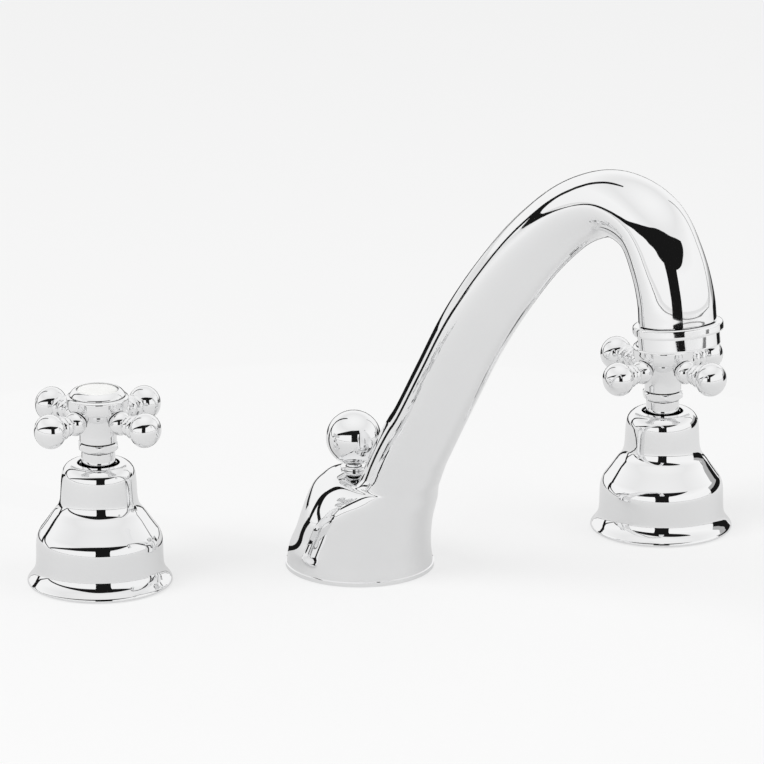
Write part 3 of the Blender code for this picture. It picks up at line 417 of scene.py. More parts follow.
def rubber():
    """Black rubber with a grey bloom in patches."""
    made, tree, shader = new_material("rubber", (0.035, 0.035, 0.038, 1.0), 0.75, 0.0)
    bloom = noise(tree, 120.0, 6.0, 0.65)
    tinted(tree, shader, bloom, 0.4, 0.75, (0.028, 0.028, 0.030, 1.0), (0.060, 0.060, 0.062, 1.0))
    roughened(tree, shader, bloom, 0.62, 0.85)
    bumped(tree, shader, noise(tree, 900.0, 4.0), 0.25, 0.0002)
    return made


def alumina():
    """Fine-grained valve ceramic."""
    made, tree, shader = new_material("alumina", (0.88, 0.87, 0.82, 1.0), 0.25, 0.0)
    grain = noise(tree, 1400.0, 5.0)
    tinted(tree, shader, grain, 0.3, 0.7, (0.90, 0.89, 0.85, 1.0), (0.84, 0.82, 0.76, 1.0))
    roughened(tree, shader, grain, 0.18, 0.32)
    bumped(tree, shader, grain, 0.05, 0.0001)
    return made


def acetal():
    """Pale moulded plastic with faint flow marks."""
    made, tree, shader = new_material("acetal", (0.82, 0.83, 0.84, 1.0), 0.45, 0.0)
    flow = noise(tree, 240.0, 4.0, 0.5, 0.8)
    tinted(tree, shader, flow, 0.3, 0.7, (0.80, 0.81, 0.82, 1.0), (0.86, 0.865, 0.87, 1.0))
    roughened(tree, shader, flow, 0.38, 0.52)
    shader.inputs["Subsurface Weight"].default_value = 0.08
    shader.inputs["Subsurface Scale"].default_value = 1.0 * MM
    bumped(tree, shader, noise(tree, 1100.0, 3.0), 0.06, 0.0001)
    return made


FINISHES = {
    "polished_chrome": chrome(),
    "porcelain": porcelain(),
    "brass": brass(),
    "stainless_steel": steel(),
    "rubber": rubber(),
    "alumina": alumina(),
    "acetal": acetal(),
}

# The finish of the CAD nodes whose names hold these words. All others are chrome
NODE_FINISH = {
    "seal": "rubber", "under_washer": "rubber", "packing": "rubber", "gasket": "rubber",
    "aerator_washer": "rubber", "top_washer": "stainless_steel", "clamp_plate": "stainless_steel",
    "handle_screw": "stainless_steel", "top_nut": "brass", "under_nut": "brass", "shank": "brass",
    "valve_body": "brass", "stem": "brass", "disc": "alumina", "aerator_insert": "acetal",
    "index_button": "porcelain",
}


def finish_of(name):
    """The finish of a node. The longest fitting word counts."""
    fitting = [key for key in NODE_FINISH if key in name]
    return NODE_FINISH[max(fitting, key=len)] if fitting else "polished_chrome"


def dress_nodes():
    for name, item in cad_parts.items():
        made = FINISHES[finish_of(name)]
        for k in range(len(item.material_slots)):
            item.material_slots[k].material = made


def place(name, mesh, finish, matrix, body, nodes):
    """A visible piece, which rides its body and replaces the CAD nodes that it shows."""
    item = bpy.data.objects.new(name, mesh)
    bpy.context.scene.collection.objects.link(item)
    mesh.materials.clear()
    mesh.materials.append(FINISHES[finish])
    mesh.transform(matrix)
    mesh.update()
    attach(item, body)
    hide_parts(*nodes)


# Valve shapes. In every profile, three numbers are a corner and its fillet

BELL_HEIGHT = 42.4 * MM
BELL_WALL = 1.3 * MM
BELL_HOLE = 7.25 * MM
BELL_HOLE_FILLET = 0.25 * MM
BELL_LIP = 1.4 * MM
BELL_CAVITY = 20.6 * MM
BELL_FOOT = 9.0 * MM
# Outside of the bell in mm, from the foot up
BELL_PROFILE = (
    (24.2, 0.0, 0.3), (24.72, 0.30), (24.80, 0.75), (24.62, 1.25), (24.10, 1.95), (23.20, 3.10),
    (22.45, 4.40), (21.98, 5.90), (21.80, 7.40), (21.73, 9.20), (21.69, 11.2), (21.66, 13.0),
    (21.58, 14.6), (21.38, 15.95), (20.98, 17.20), (20.32, 18.45), (19.55, 19.50), (18.60, 20.80),
    (17.70, 22.05), (16.85, 23.25), (16.05, 24.35), (15.25, 25.35), (14.48, 26.30), (13.86, 27.40),
    (13.44, 28.65), (13.22, 29.85), (13.10, 31.10), (13.02, 32.60), (12.94, 34.20), (12.85, 35.80),
    (12.74, 37.20), (12.60, 38.40), (12.38, 39.35), (12.02, 40.20), (11.52, 40.95), (10.88, 41.60),
    (10.16, 42.08), (9.40, 42.35), (8.60, 42.4, 0.0),
)


def bell_mesh():
    """The escutcheon: its outside, and inside a wall of even thickness over a straight foot."""
    items = in_metres(BELL_PROFILE)
    under = BELL_HEIGHT - BELL_LIP
    inner = [(item[0] - BELL_WALL, item[1]) for item in reversed(items) if BELL_FOOT < item[1] < under]
    items += [(BELL_HOLE, BELL_HEIGHT, BELL_HOLE_FILLET), (BELL_HOLE, under, 0.0)]
    items += [inner[0] + (0.0,)] + inner[1:-1] + [inner[-1] + (0.0,)]
    items.append((BELL_CAVITY, 0.0, 0.0))
    return lathe("escutcheon", outline(items))


# The headwork housing in mm, with its bore, round the pieces that stay inside it
BONNET_PROFILE = (
    (7.0, 8.9, 0.0), (8.2, 8.9, 0.2), (8.2, 16.5, 0.2), (10.0, 16.5, 0.2), (10.0, 24.3, 0.0),
    (11.0, 24.3, 0.25), (11.0, 28.0, 0.4), (9.6, 28.0, 0.2), (9.6, 40.0, 0.8), (5.75, 40.0, 0.2),
    (5.75, 46.6, 0.2), (4.6, 46.6, 0.1), (4.6, 37.0, 0.0), (3.3, 37.0, 0.0), (3.3, 17.2, 0.0),
    (7.0, 17.2, 0.0),
)

COLLAR_FLATS = 13.2 * MM
COLLAR_CORNER_SHARE = 0.985
COLLAR_BORE = 3.3 * MM
COLLAR_BORE_BOTTOM = 40.0 * MM
COLLAR_BORE_TOP = 60.0 * MM
# Collar nut in mm, from the foot up: height, radius its corners are turned to, levels on the way there
COLLAR_LEVELS = ((46.9, 6.0, 0), (48.1, 7.62, 8), (48.95, 7.62, 2), (49.8, 6.6, 6))


def collar_mesh():
    """A hexagon nut whose corners are turned off towards its ends."""
    corner = COLLAR_FLATS / 2.0 / math.cos(math.pi / 6.0)
    heights = [COLLAR_LEVELS[0][0]]
    for below, above in zip(COLLAR_LEVELS, COLLAR_LEVELS[1:]):
        heights += list(np.linspace(below[0], above[0], above[2] + 1)[1:])
    limits = np.interp(heights, [level[0] for level in COLLAR_LEVELS], [level[1] for level in COLLAR_LEVELS])
    rings = []
    for height, limit in zip(heights, limits):
        ring = []
        for s in range(TURN_STEPS):
            angle = 2.0 * math.pi * s / TURN_STEPS
            flat = (angle + math.pi / 6.0) % (math.pi / 3.0) - math.pi / 6.0
            side = COLLAR_FLATS / 2.0 / math.cos(math.pi / 6.0 - abs(flat))
            radius = min(side, limit * MM, corner * COLLAR_CORNER_SHARE)
            ring.append((radius * math.cos(angle), radius * math.sin(angle), height * MM))
        rings.append(ring)
    nut = skin("collar_nut", rings)
    nut.transform(Matrix.Rotation(math.radians(COLLAR_YAW), 4, "Z"))
    return carved(nut, [rod("bore", COLLAR_BORE, COLLAR_BORE_BOTTOM, COLLAR_BORE_TOP)])


# Handle arm: its height over the deck, reaches from the valve's axis, radii, and depths along the arm
ARM_HEIGHT = 58.4 * MM
ARM_REACH = 22.6 * MM
ARM_BALL = 5.9 * MM
ARM_BALL_DEPTH = 5.07 * MM
ARM_BOSS = 4.1 * MM
ARM_BOSS_DEPTH = 3.4 * MM
ARM_BOSS_REACH = 10.8 * MM
ARM_NECK = 2.6 * MM
ARM_SPIGOT = 2.0 * MM
ARM_SPIGOT_START = 4.9 * MM
# The ball's surface starts at this angle from its inner pole
ARM_BALL_START = 43.0
# Beads between boss and ball: radius and distance along the arm in mm, with sharp grooves
ARM_BEADS = (
    (2.72, 13.85, 0.0), (3.25, 14.35), (3.46, 15.00), (3.38, 15.70), (3.12, 16.20, 0.0),
    (3.80, 16.70), (4.05, 17.40), (3.92, 18.10), (3.55, 18.55, 0.0),
)


def arc(centre, radius, start, end, pieces, depth=None):
    """Points of an arc about the axis. Where it isn't round, depth is its half-length along the axis."""
    along = radius if depth is None else depth
    made = []
    for piece in range(pieces + 1):
        angle = math.radians(start + (end - start) * piece / pieces)
        made.append((radius * math.sin(angle), centre - along * math.cos(angle)))
    return made


def arm_frame(turn):
    """Stands an upright piece on the valve's axis out along an arm of that heading."""
    lift = Matrix.Translation((0.0, 0.0, ARM_HEIGHT))
    return lift @ Matrix.Rotation(math.radians(turn), 4, "Z") @ Matrix.Rotation(math.pi / 2.0, 4, "Y")


def arm_mesh():
    """One handle arm: spigot, boss, beads and ball, as a solid of revolution about its own axis."""
    root = math.degrees(math.asin(ARM_SPIGOT / ARM_BOSS))
    neck = math.degrees(math.asin(ARM_NECK / ARM_BOSS))
    boss = arc(ARM_BOSS_REACH, ARM_BOSS, root, 180.0 - neck, BOSS_PIECES, ARM_BOSS_DEPTH)
    ball = arc(ARM_REACH, ARM_BALL, ARM_BALL_START, 180.0, BALL_PIECES, ARM_BALL_DEPTH)
    ball[-1] = (0.0, ARM_REACH + ARM_BALL_DEPTH)
    profile = [(0.0, ARM_SPIGOT_START), (ARM_SPIGOT, ARM_SPIGOT_START)] + boss
    beads = outline(in_metres(ARM_BEADS), closed=False)
    profile += [tuple(p) for p in beads] + ball
    return lathe("handle_arm", profile, ARM_STEPS)


# Hub in mm, from its foot on the collar nut to its web
HUB_PROFILE = (
    (3.3, 50.1, 0.0), (6.35, 50.1, 0.2), (6.35, 51.6), (6.37, 52.9), (6.62, 54.5), (7.20, 56.5),
    (8.10, 58.5), (9.15, 60.2), (9.95, 61.4), (10.45, 62.4), (10.6, 63.4), (10.6, 64.6),
    (10.6, 65.75, 0.45), (9.75, 66.3, 0.1), (9.75, 64.6, 0.0), (7.0, 64.6, 0.0), (7.0, 62.1, 0.0),
    (1.9, 62.1, 0.0), (1.9, 60.0, 0.0), (3.3, 60.0, 0.0),
)
# The cap's ring and the porcelain button inside it, in mm
CAP_PROFILE = (
    (5.5, 64.9, 0.0), (9.45, 64.9, 0.15), (9.45, 66.6, 0.0), (9.25, 66.95), (8.55, 67.75),
    (7.85, 68.25), (7.55, 68.4, 0.0), (7.25, 68.4, 0.12), (7.25, 66.4, 0.0), (5.5, 66.4, 0.0),
)
BUTTON_PROFILE = (
    (0.0, 64.9, 0.0), (5.2, 64.9, 0.1), (5.2, 66.7, 0.0), (6.95, 66.7, 0.1), (6.95, 68.1, 0.35),
    (6.2, 68.50), (4.6, 68.80), (2.4, 68.98), (0.0, 69.05, 0.0),
)


def hub_mesh(arm_yaw):
    """The hub with a pocket for each arm's boss and spigot."""
    hub = turned("handle_hub", HUB_PROFILE)
    pocket = ARM_BOSS + CLEARANCE
    depth = ARM_BOSS_DEPTH + CLEARANCE
    socket = ARM_SPIGOT + CLEARANCE
    root = math.degrees(math.asin(socket / pocket))
    tool = [(0.0, ARM_SPIGOT_START - CLEARANCE), (socket, ARM_SPIGOT_START - CLEARANCE)]
    tool += arc(ARM_BOSS_REACH, pocket, root, 180.0, POCKET_PIECES, depth)
    tool[-1] = (0.0, ARM_BOSS_REACH + depth)
    tools = []
    for arm in range(ARM_COUNT):
        mesh = lathe("pocket", tool, ARM_STEPS, CUTTER_TURN)
        mesh.transform(arm_frame(arm_yaw + 360.0 / ARM_COUNT * arm))
        tools.append(mesh)
    return carved(hub, tools)


def add_valves():
    button = outline(in_metres(BUTTON_PROFILE), closed=False)
    # Node, mesh, finish, and whether it turns with the handle
    pieces = [
        ("escutcheon", bell_mesh(), "polished_chrome", False),
        ("bonnet", turned("bonnet", BONNET_PROFILE), "polished_chrome", False),
        ("collar_nut", collar_mesh(), "polished_chrome", False),
        ("cap_ring", turned("cap_ring", CAP_PROFILE), "polished_chrome", True),
        ("index_button", lathe("index_button", button), "porcelain", True),
    ]
    lever = arm_mesh()
    for side, centre, yaw, arm_yaw in SIDES:
        stand = Matrix.Translation((centre, 0.0, 0.0)) @ Matrix.Rotation(math.radians(yaw), 4, "Z")
        handle = side + "_handle"
        for part, mesh, finish, turns in pieces:
            name = side + "_" + part
            place(name + "_skin", mesh.copy(), finish, stand, handle if turns else "fixed", [name])
        hub = handle + "_hub"
        place(hub + "_skin", hub_mesh(arm_yaw), "polished_chrome", stand, handle, [hub])
        for arm in range(ARM_COUNT):
            name = handle + "_arm_" + str(arm + 1)
            matrix = stand @ arm_frame(arm_yaw + 360.0 / ARM_COUNT * arm)
            place(name + "_skin", lever.copy(), "polished_chrome", matrix, handle, [name])


# Spout shapes: local X runs forward to the outlet, local Z up

BASE_RADIUS = 25.6 * MM
PLATFORM_HEIGHT = 33.7 * MM
NECK_RADIUS = 12.0 * MM
SPOUT_REACH = 158.6 * MM
SPOUT_RISE = 155.3 * MM
OUTLET_TILT = 7.4
ROD_BACK = -3.2 * MM
# Rings of the base, as shares: forward, height, front, rear and half-width, then lean in degrees
BODY_SHARES = (
    (0.000, 0.000, 1.000, 1.000, 1.000, 0.0),
    (0.000, 0.039, 1.000, 1.000, 1.000, 0.0),
    (0.000, 0.045, 0.984, 0.984, 0.984, 0.0),
    (0.008, 0.208, 0.961, 0.957, 0.949, 0.0),
    (0.078, 0.386, 0.930, 0.922, 0.898, 0.0),
    (0.176, 0.564, 0.891, 0.953, 0.855, 0.0),
    (0.312, 0.712, 0.836, 1.047, 0.805, 0.0),
    (0.449, 0.831, 0.777, 1.125, 0.742, 0.0),
    (0.566, 0.920, 0.704, 1.125, 0.676, 0.0),
    (0.664, 0.976, 0.644, 1.122, 0.618, 0.0),
    (0.723, 0.998, 0.602, 1.068, 0.585, 0.0),
    (0.801, 1.000, 0.529, 0.508, 0.555, 0.0),
    (0.859, 1.083, 0.512, 0.508, 0.536, -6.0),
    (0.957, 1.231, 0.497, 0.504, 0.517, -13.0),
    (1.074, 1.395, 0.484, 0.492, 0.500, -21.0),
    (1.203, 1.555, 0.484, 0.482, 0.484, -27.0),
)
# Rings of the neck, as shares of the way to the outlet: forward, height, then radius
NECK_SHARES = (
    (0.030, 0.054, 1.000), (0.123, 0.239, 0.985), (0.228, 0.443, 0.985), (0.350, 0.633, 0.965),
    (0.486, 0.808, 0.935), (0.635, 0.944, 0.910), (0.777, 1.000, 0.915), (0.898, 0.962, 0.970),
    (0.964, 0.849, 1.010), (0.993, 0.749, 1.033), (1.000, 0.683, 1.042),
)
NECK_PIECES = 12
NECK_START = 6
NECK_STRIDE = 3
# The last ring of the platform's edge, and the straight rings at the foot
LEDGE = 10
FOOT_RINGS = 2
RING_PIECES = 8
# Cosine of the heading from which the rear form goes over to the front form, and how far it takes
BLEND_START = -0.75
BLEND_WIDTH = 0.6


def spout_rows():
    """Rows of forward, height, front, rear, half and lean for every ring of the spout's skin."""
    rows = []
    for forward, height, front, rear, half, lean in BODY_SHARES:
        spread = [share * BASE_RADIUS for share in (front, rear, half)]
        rows.append([forward * BASE_RADIUS, height * PLATFORM_HEIGHT] + spread + [lean])
    start = np.array(rows[-1][:2])
    span = np.array((SPOUT_REACH, SPOUT_RISE)) - start
    knots = [tuple(start + span * (s, z)) + (NECK_RADIUS * r,) for s, z, r in NECK_SHARES]
    path = smooth_curve([tuple(start) + (rows[-1][4],)] + knots, NECK_PIECES)
    run = np.gradient(path[:, 0])
    climb = np.gradient(path[:, 1])
    leans = np.degrees(np.unwrap(np.arctan2(climb, run))) - 90.0
    for k in range(NECK_START, len(path), NECK_STRIDE):
        forward, height, radius = path[k]
        rows.append([forward, height, radius, radius, radius, leans[k]])
    rows[-1][5] = OUTLET_TILT - 180.0
    return rows


def ring_points(row, steps):
    forward, height, front, rear, half, lean = row
    turn = math.radians(lean)
    made = []
    for s in range(steps):
        angle = 2.0 * math.pi * s / steps
        along = math.cos(angle) * (front if math.cos(angle) > 0.0 else rear)
        x, z = forward + along * math.cos(turn), height + along * math.sin(turn)
        made.append((x, half * math.sin(angle), z))
    return made


def spout_skin():
    """Rings whose front runs smoothly past the platform, while the rear keeps the platform's ledge."""
    rows = [ring_points(row, TURN_STEPS) for row in spout_rows()]
    points = np.array(rows)
    foot = list(points[:FOOT_RINGS])
    body = points[FOOT_RINGS:]
    ledge = LEDGE - FOOT_RINGS
    columns = []
    for s in range(TURN_STEPS):
        knots = body[:, s]
        middle = (knots[ledge] + knots[ledge + 1]) / 2.0
        through = list(knots[:ledge]) + [middle] + list(knots[ledge + 2:])
        front = smooth_path(through, 2 * RING_PIECES)
        # The front has two gaps where the rear has three, and both get the same number of points
        start = 2 * RING_PIECES * (ledge - 1)
        span = np.linspace(start, start + 4 * RING_PIECES, 3 * RING_PIECES + 1)
        crossing = np.stack([np.interp(span, np.arange(len(front)), front[:, k]) for k in range(3)], axis=1)
        front = np.concatenate([front[:start:2], crossing, front[start + 4 * RING_PIECES + 2::2]])
        low = smooth_path(list(knots[:ledge + 1]), RING_PIECES)
        high = smooth_path(list(knots[ledge + 1:]), RING_PIECES)
        shares = np.linspace(0.0, 1.0, RING_PIECES + 1)[1:-1, None]
        flat = knots[ledge] + (knots[ledge + 1] - knots[ledge]) * shares
        rear = np.concatenate([low, flat, high])
        facing = math.cos(2.0 * math.pi * s / TURN_STEPS)
        share = min(1.0, max(0.0, (facing - BLEND_START) / BLEND_WIDTH))
        share = share * share * (3.0 - 2.0 * share)
        columns.append(rear + (front - rear) * share)
    upper = np.array(columns).transpose(1, 0, 2)
    return [[tuple(p) for p in ring] for ring in foot + list(upper)]


def outlet_frame():
    """Sets an upright piece on the outlet's end."""
    tilt = Matrix.Rotation(-math.radians(OUTLET_TILT), 4, "Y")
    reach, rise = spout_rows()[-1][:2]
    return Matrix.Translation((reach, 0.0, rise)) @ tilt


# Hollows cut into the spout: radii, and where they start and end above the deck
FOOT_CAVITY = 22.4 * MM
FOOT_CAVITY_TOP = 6.0 * MM
SHANK_FORWARD = 12.0 * MM
SHANK_SOCKET = 8.63 * MM
SHANK_SOCKET_TOP = 18.3 * MM
ROD_PASSAGE = 3.1 * MM
GUIDE_SEAT = 4.2 * MM
GUIDE_SEAT_BOTTOM = 25.4 * MM
OUTLET_SEAT = 10.2 * MM
OUTLET_SEAT_DEPTH = 7.0 * MM
# Cutters reach this much past an open end, and this high through the platform
CUT_SPARE = 3.0 * MM
CUT_TOP = 40.0 * MM


def spout_mesh():
    body = skin("spout_body", spout_skin())
    seat = rod("seat", OUTLET_SEAT, -CUT_SPARE, OUTLET_SEAT_DEPTH, FINE_STEPS)
    seat.transform(outlet_frame())
    inside_foot = FOOT_CAVITY_TOP - CUT_SPARE
    tools = [
        seat,
        rod("foot", FOOT_CAVITY, -CUT_SPARE, FOOT_CAVITY_TOP, TURN_STEPS),
        rod("socket", SHANK_SOCKET, inside_foot, SHANK_SOCKET_TOP, x=SHANK_FORWARD),
        rod("passage", ROD_PASSAGE, inside_foot, CUT_TOP, x=ROD_BACK),
        rod("guide", GUIDE_SEAT, GUIDE_SEAT_BOTTOM, CUT_TOP, x=ROD_BACK),
    ]
    return carved(body, tools)


# Outlet collar in mm, with heights over the end of the spout's tube
OUTLET_PROFILE = (
    (8.2, -7.9, 0.15), (13.1, -7.9, 0.35), (13.1, -3.5, 0.12), (14.5, -3.5, 0.85), (14.5, -1.9),
    (14.5, -0.3, 0.85), (9.9, -0.3, 0.1), (9.9, 6.7, 0.2), (9.4, 6.7, 0.0), (9.4, -6.9, 0.0),
    (8.2, -6.9, 0.0),
)
# Flow straightener inside the collar, and its jets
INSERT_PROFILE = ((0.0, -6.9, 0.0), (9.1, -6.9, 0.2), (9.1, -1.9, 0.2), (0.0, -1.9, 0.0))
JET_RADIUS = 1.5 * MM
JET_RING = 5.2 * MM
JETS_ROUND = 6
JET_BOTTOM = -9.0 * MM
JET_TOP = 1.0 * MM


def insert_mesh():
    """The flow straightener: a disc with one jet in its centre and a ring of them round it."""
    disc = lathe("aerator_insert", outline(in_metres(INSERT_PROFILE), closed=False), FINE_STEPS)
    tools = [rod("jet", JET_RADIUS, JET_BOTTOM, JET_TOP, JET_STEPS)]
    for jet in range(1, JETS_ROUND + 1):
        angle = 2.0 * math.pi * jet / JETS_ROUND
        x, y = JET_RING * math.cos(angle), JET_RING * math.sin(angle)
        tools.append(rod("jet", JET_RADIUS, JET_BOTTOM, JET_TOP, JET_STEPS, x, y))
    return carved(disc, tools)


# Lift rod's guide in mm, and the knob on the rod
GUIDE_PROFILE = (
    (2.8, 25.7, 0.0), (3.9, 25.7, 0.15), (3.9, 33.75, 0.0), (4.6, 33.75, 0.08), (4.6, 34.55, 0.25),
    (2.8, 34.55, 0.15),
)
KNOB_RADIUS = 9.53 * MM
KNOB_FOOT = 3.2 * MM
KNOB_BOTTOM = 35.65 * MM


def knob_mesh():
    """A ball with a small flat foot."""
    centre = KNOB_BOTTOM + math.sqrt(KNOB_RADIUS ** 2 - KNOB_FOOT ** 2)
    start = math.degrees(math.asin(KNOB_FOOT / KNOB_RADIUS))
    ball = arc(centre, KNOB_RADIUS, start, 180.0, KNOB_PIECES)
    ball[-1] = (0.0, centre + KNOB_RADIUS)
    return lathe("lift_knob", [(0.0, KNOB_BOTTOM)] + ball)


def add_spout():
    move = Matrix.Translation((SPOUT_PLACE[0], SPOUT_PLACE[1], 0.0))
    stand = move @ Matrix.Rotation(math.radians(SPOUT_YAW), 4, "Z")
    still = Matrix.Identity(4)
    outlet = outlet_frame()
    rod_axis = Matrix.Translation((ROD_BACK, 0.0, 0.0))
    guide = turned("lift_rod_guide", GUIDE_PROFILE, FINE_STEPS)
    # Node, mesh, where it sits on the spout, finish and body
    pieces = [
        ("spout_body", spout_mesh(), still, "polished_chrome", "fixed"),
        ("spout_outlet_collar", turned("outlet_collar", OUTLET_PROFILE), outlet, "polished_chrome", "fixed"),
        ("spout_aerator_insert", insert_mesh(), outlet, "acetal", "fixed"),
        ("lift_rod_guide", guide, rod_axis, "polished_chrome", "fixed"),
        ("lift_knob", knob_mesh(), rod_axis, "polished_chrome", "lift_rod"),
    ]
    for name, mesh, seat, finish, body in pieces:
        mesh.transform(seat)
        place(name + "_skin", mesh, finish, stand, body, [name])


# Studio: a pale floor, soft lamps, and dark cards that only mirror finishes see.
# Headings count from the camera, seen from the object, with its right as plus

def emission(name, colour):
    """A flat colour that needs no light."""
    made = bpy.data.materials.new(name)
    made.use_nodes = True
    tree = made.node_tree
    tree.nodes.clear()
    light = node(tree, "ShaderNodeEmission")
    light.inputs["Color"].default_value = colour
    light.inputs["Strength"].default_value = 1.0
    out = node(tree, "ShaderNodeOutputMaterial")
    tree.links.new(light.outputs["Emission"], out.inputs["Surface"])
    return made


def heading(turn):
    """The flat direction that lies that many degrees to the right of the camera, seen from the object."""
    angle = math.radians(turn)
    base = math.radians(VIEW_TURN)
    towards = Vector((-math.sin(base), -math.cos(base), 0.0))
    right = Vector((math.cos(base), -math.sin(base), 0.0))
    return towards * math.cos(angle) + right * math.sin(angle)


def aim_from(turn, rise):
    """The direction of a heading and an elevation in degrees, seen from the object."""
    up = math.radians(rise)
    return heading(turn) * math.cos(up) + Vector((0.0, 0.0, math.sin(up)))


def stage_item(name, points, faces, material, mirror_only=False):
    """A piece of the studio. Where it is mirror_only, nothing but a mirror finish sees it."""
    mesh = bpy.data.meshes.new(name)
    mesh.from_pydata([tuple(p) for p in points], [], faces)
    mesh.materials.append(material)
    item = bpy.data.objects.new(name, mesh)
    bpy.context.scene.collection.objects.link(item)
    if mirror_only:
        item.visible_camera = False
        item.visible_diffuse = False
        item.visible_shadow = False
        item.visible_transmission = False
        item.visible_volume_scatter = False


def card(name, material, pairs):
    """A strip between pairs of points, for mirror finishes only."""
    points = [point for pair in pairs for point in pair]
    faces = [(2 * k, 2 * k + 1, 2 * k + 3, 2 * k + 2) for k in range(len(pairs) - 1)]
    stage_item(name, points, faces, material, mirror_only=True)


def sweep(left, right):
    """The headings from left to right, in even steps."""
    return [heading(left + (right - left) * k / CARD_PIECES) for k in range(CARD_PIECES + 1)]


def wall(name, material, centre, radius, left, right, low, high):
    """A standing piece of a cylinder round the centre, between two headings and two heights."""
    pairs = []
    for flat in sweep(left, right):
        foot = Vector(centre) + radius * flat
        pairs.append((foot + Vector((0.0, 0.0, low)), foot + Vector((0.0, 0.0, high))))
    card(name, material, pairs)


def floor_card(name, material, centre, left, right, near, far):
    """A flat piece just over the floor, between two headings and two distances from the centre."""
    start = Vector((centre[0], centre[1], FLOOR_LEVEL + FLOOR_CARD_RISE))
    card(name, material, [(start + near * flat, start + far * flat) for flat in sweep(left, right)])


def ribbon(name, material, radius, stations):
    """A band on a sphere round the object, through stations of heading, elevation and half-width."""
    path = smooth_path(stations, RIBBON_PIECES)
    pairs = []
    for k, (turn, rise, half) in enumerate(path):
        before, after = path[max(k - 1, 0)], path[min(k + 1, len(path) - 1)]
        flat = math.cos(math.radians(rise))
        way = np.array(((after[0] - before[0]) * flat, after[1] - before[1]))
        way /= np.linalg.norm(way)
        pairs.append([radius * aim_from(turn - side * half * way[1] / flat, rise + side * half * way[0])
                      for side in (-1.0, 1.0)])
    card(name, material, pairs)


def mirror_and_camera(tree):
    """One where the camera, a mirror or glass looks, zero where light is being gathered."""
    paths = node(tree, "ShaderNodeLightPath")
    seen = node(tree, "ShaderNodeMath", operation="MAXIMUM")
    seen_all = node(tree, "ShaderNodeMath", operation="MAXIMUM")
    tree.links.new(paths.outputs["Is Camera Ray"], seen.inputs[0])
    tree.links.new(paths.outputs["Is Glossy Ray"], seen.inputs[1])
    tree.links.new(seen.outputs[0], seen_all.inputs[0])
    tree.links.new(paths.outputs["Is Transmission Ray"], seen_all.inputs[1])
    return seen_all.outputs[0]


def white_or_mirrored(tree, mirrored):
    """White, but the given colour where a mirror looks."""
    paths = node(tree, "ShaderNodeLightPath")
    made = node(tree, "ShaderNodeMix", data_type="RGBA")
    made.inputs[6].default_value = grey(1.0)
    tree.links.new(paths.outputs["Is Glossy Ray"], made.inputs[0])
    tree.links.new(mirrored, made.inputs[7])
    return made.outputs[2]


FLOOR_LEVEL = -0.2 * MM
FLOOR_HALF = 8.0
FLOOR_CARD_RISE = 0.1 * MM
# Share of its own light in how the floor looks, which makes it nearly white
FLOOR_GLOW = 0.6
# What mirrors see of that light, which is painted shade: grey near the object and white far off, and the
# distances from the object between which it changes
FLOOR_MIRRORED_SHADE_NEAR = grey(0.70)
FLOOR_MIRRORED_SHADE_FAR = grey(1.0)
FLOOR_MIRRORED_SHADE_FADE = (0.05, 0.9)


def floor_material():
    """Pale card that shows as nearly white, and still takes the object's shadow. Mirrors see painted shade
    on it instead: grey near the object and white far off.
    """
    made, tree, shader = new_material("floor", grey(0.90), 0.7, 0.0)
    shader.inputs["Specular IOR Level"].default_value = 0.1
    grain = noise(tree, 30.0, 4.0)
    tinted(tree, shader, grain, 0.0, 1.0, grey(0.905), grey(0.915))
    coordinates = node(tree, "ShaderNodeTexCoord")
    away = node(tree, "ShaderNodeVectorMath", operation="LENGTH")
    tree.links.new(coordinates.outputs["Object"], away.inputs[0])
    # Painted shade for mirrors: they see the floor grey near the object, going over to white far off
    share = ranged(tree, away.outputs["Value"], 0.0, 1.0, *FLOOR_MIRRORED_SHADE_FADE)
    mirrored_shade = blend_colours(tree, share, FLOOR_MIRRORED_SHADE_NEAR, FLOOR_MIRRORED_SHADE_FAR)
    light = node(tree, "ShaderNodeEmission")
    tree.links.new(white_or_mirrored(tree, mirrored_shade), light.inputs["Color"])
    light.inputs["Strength"].default_value = 1.0
    mixed = node(tree, "ShaderNodeMixShader")
    tree.links.new(ranged(tree, mirror_and_camera(tree), 0.0, FLOOR_GLOW), mixed.inputs[0])
    tree.links.new(shader.outputs["BSDF"], mixed.inputs[1])
    tree.links.new(light.outputs["Emission"], mixed.inputs[2])
    tree.links.new(mixed.outputs["Shader"], tree.nodes["Material Output"].inputs["Surface"])
    return made


def add_floor():
    corners = ((-1.0, -1.0), (1.0, -1.0), (1.0, 1.0), (-1.0, 1.0))
    points = [(x * FLOOR_HALF, y * FLOOR_HALF, FLOOR_LEVEL) for x, y in corners]
    stage_item("floor", points, [(0, 1, 2, 3)], floor_material())


# Brightness of the sky that mirrors see, from straight down at 0 to straight up at 1
SKY = (
    (0.0, 0.66), (0.36, 0.74), (0.492, 0.76), (0.500, 0.98), (0.70, 1.0), (0.86, 0.88), (0.93, 0.94),
    (1.0, 1.0),
)
# Strength of the sky's light on matt surfaces
SKY_LIGHT = 0.55


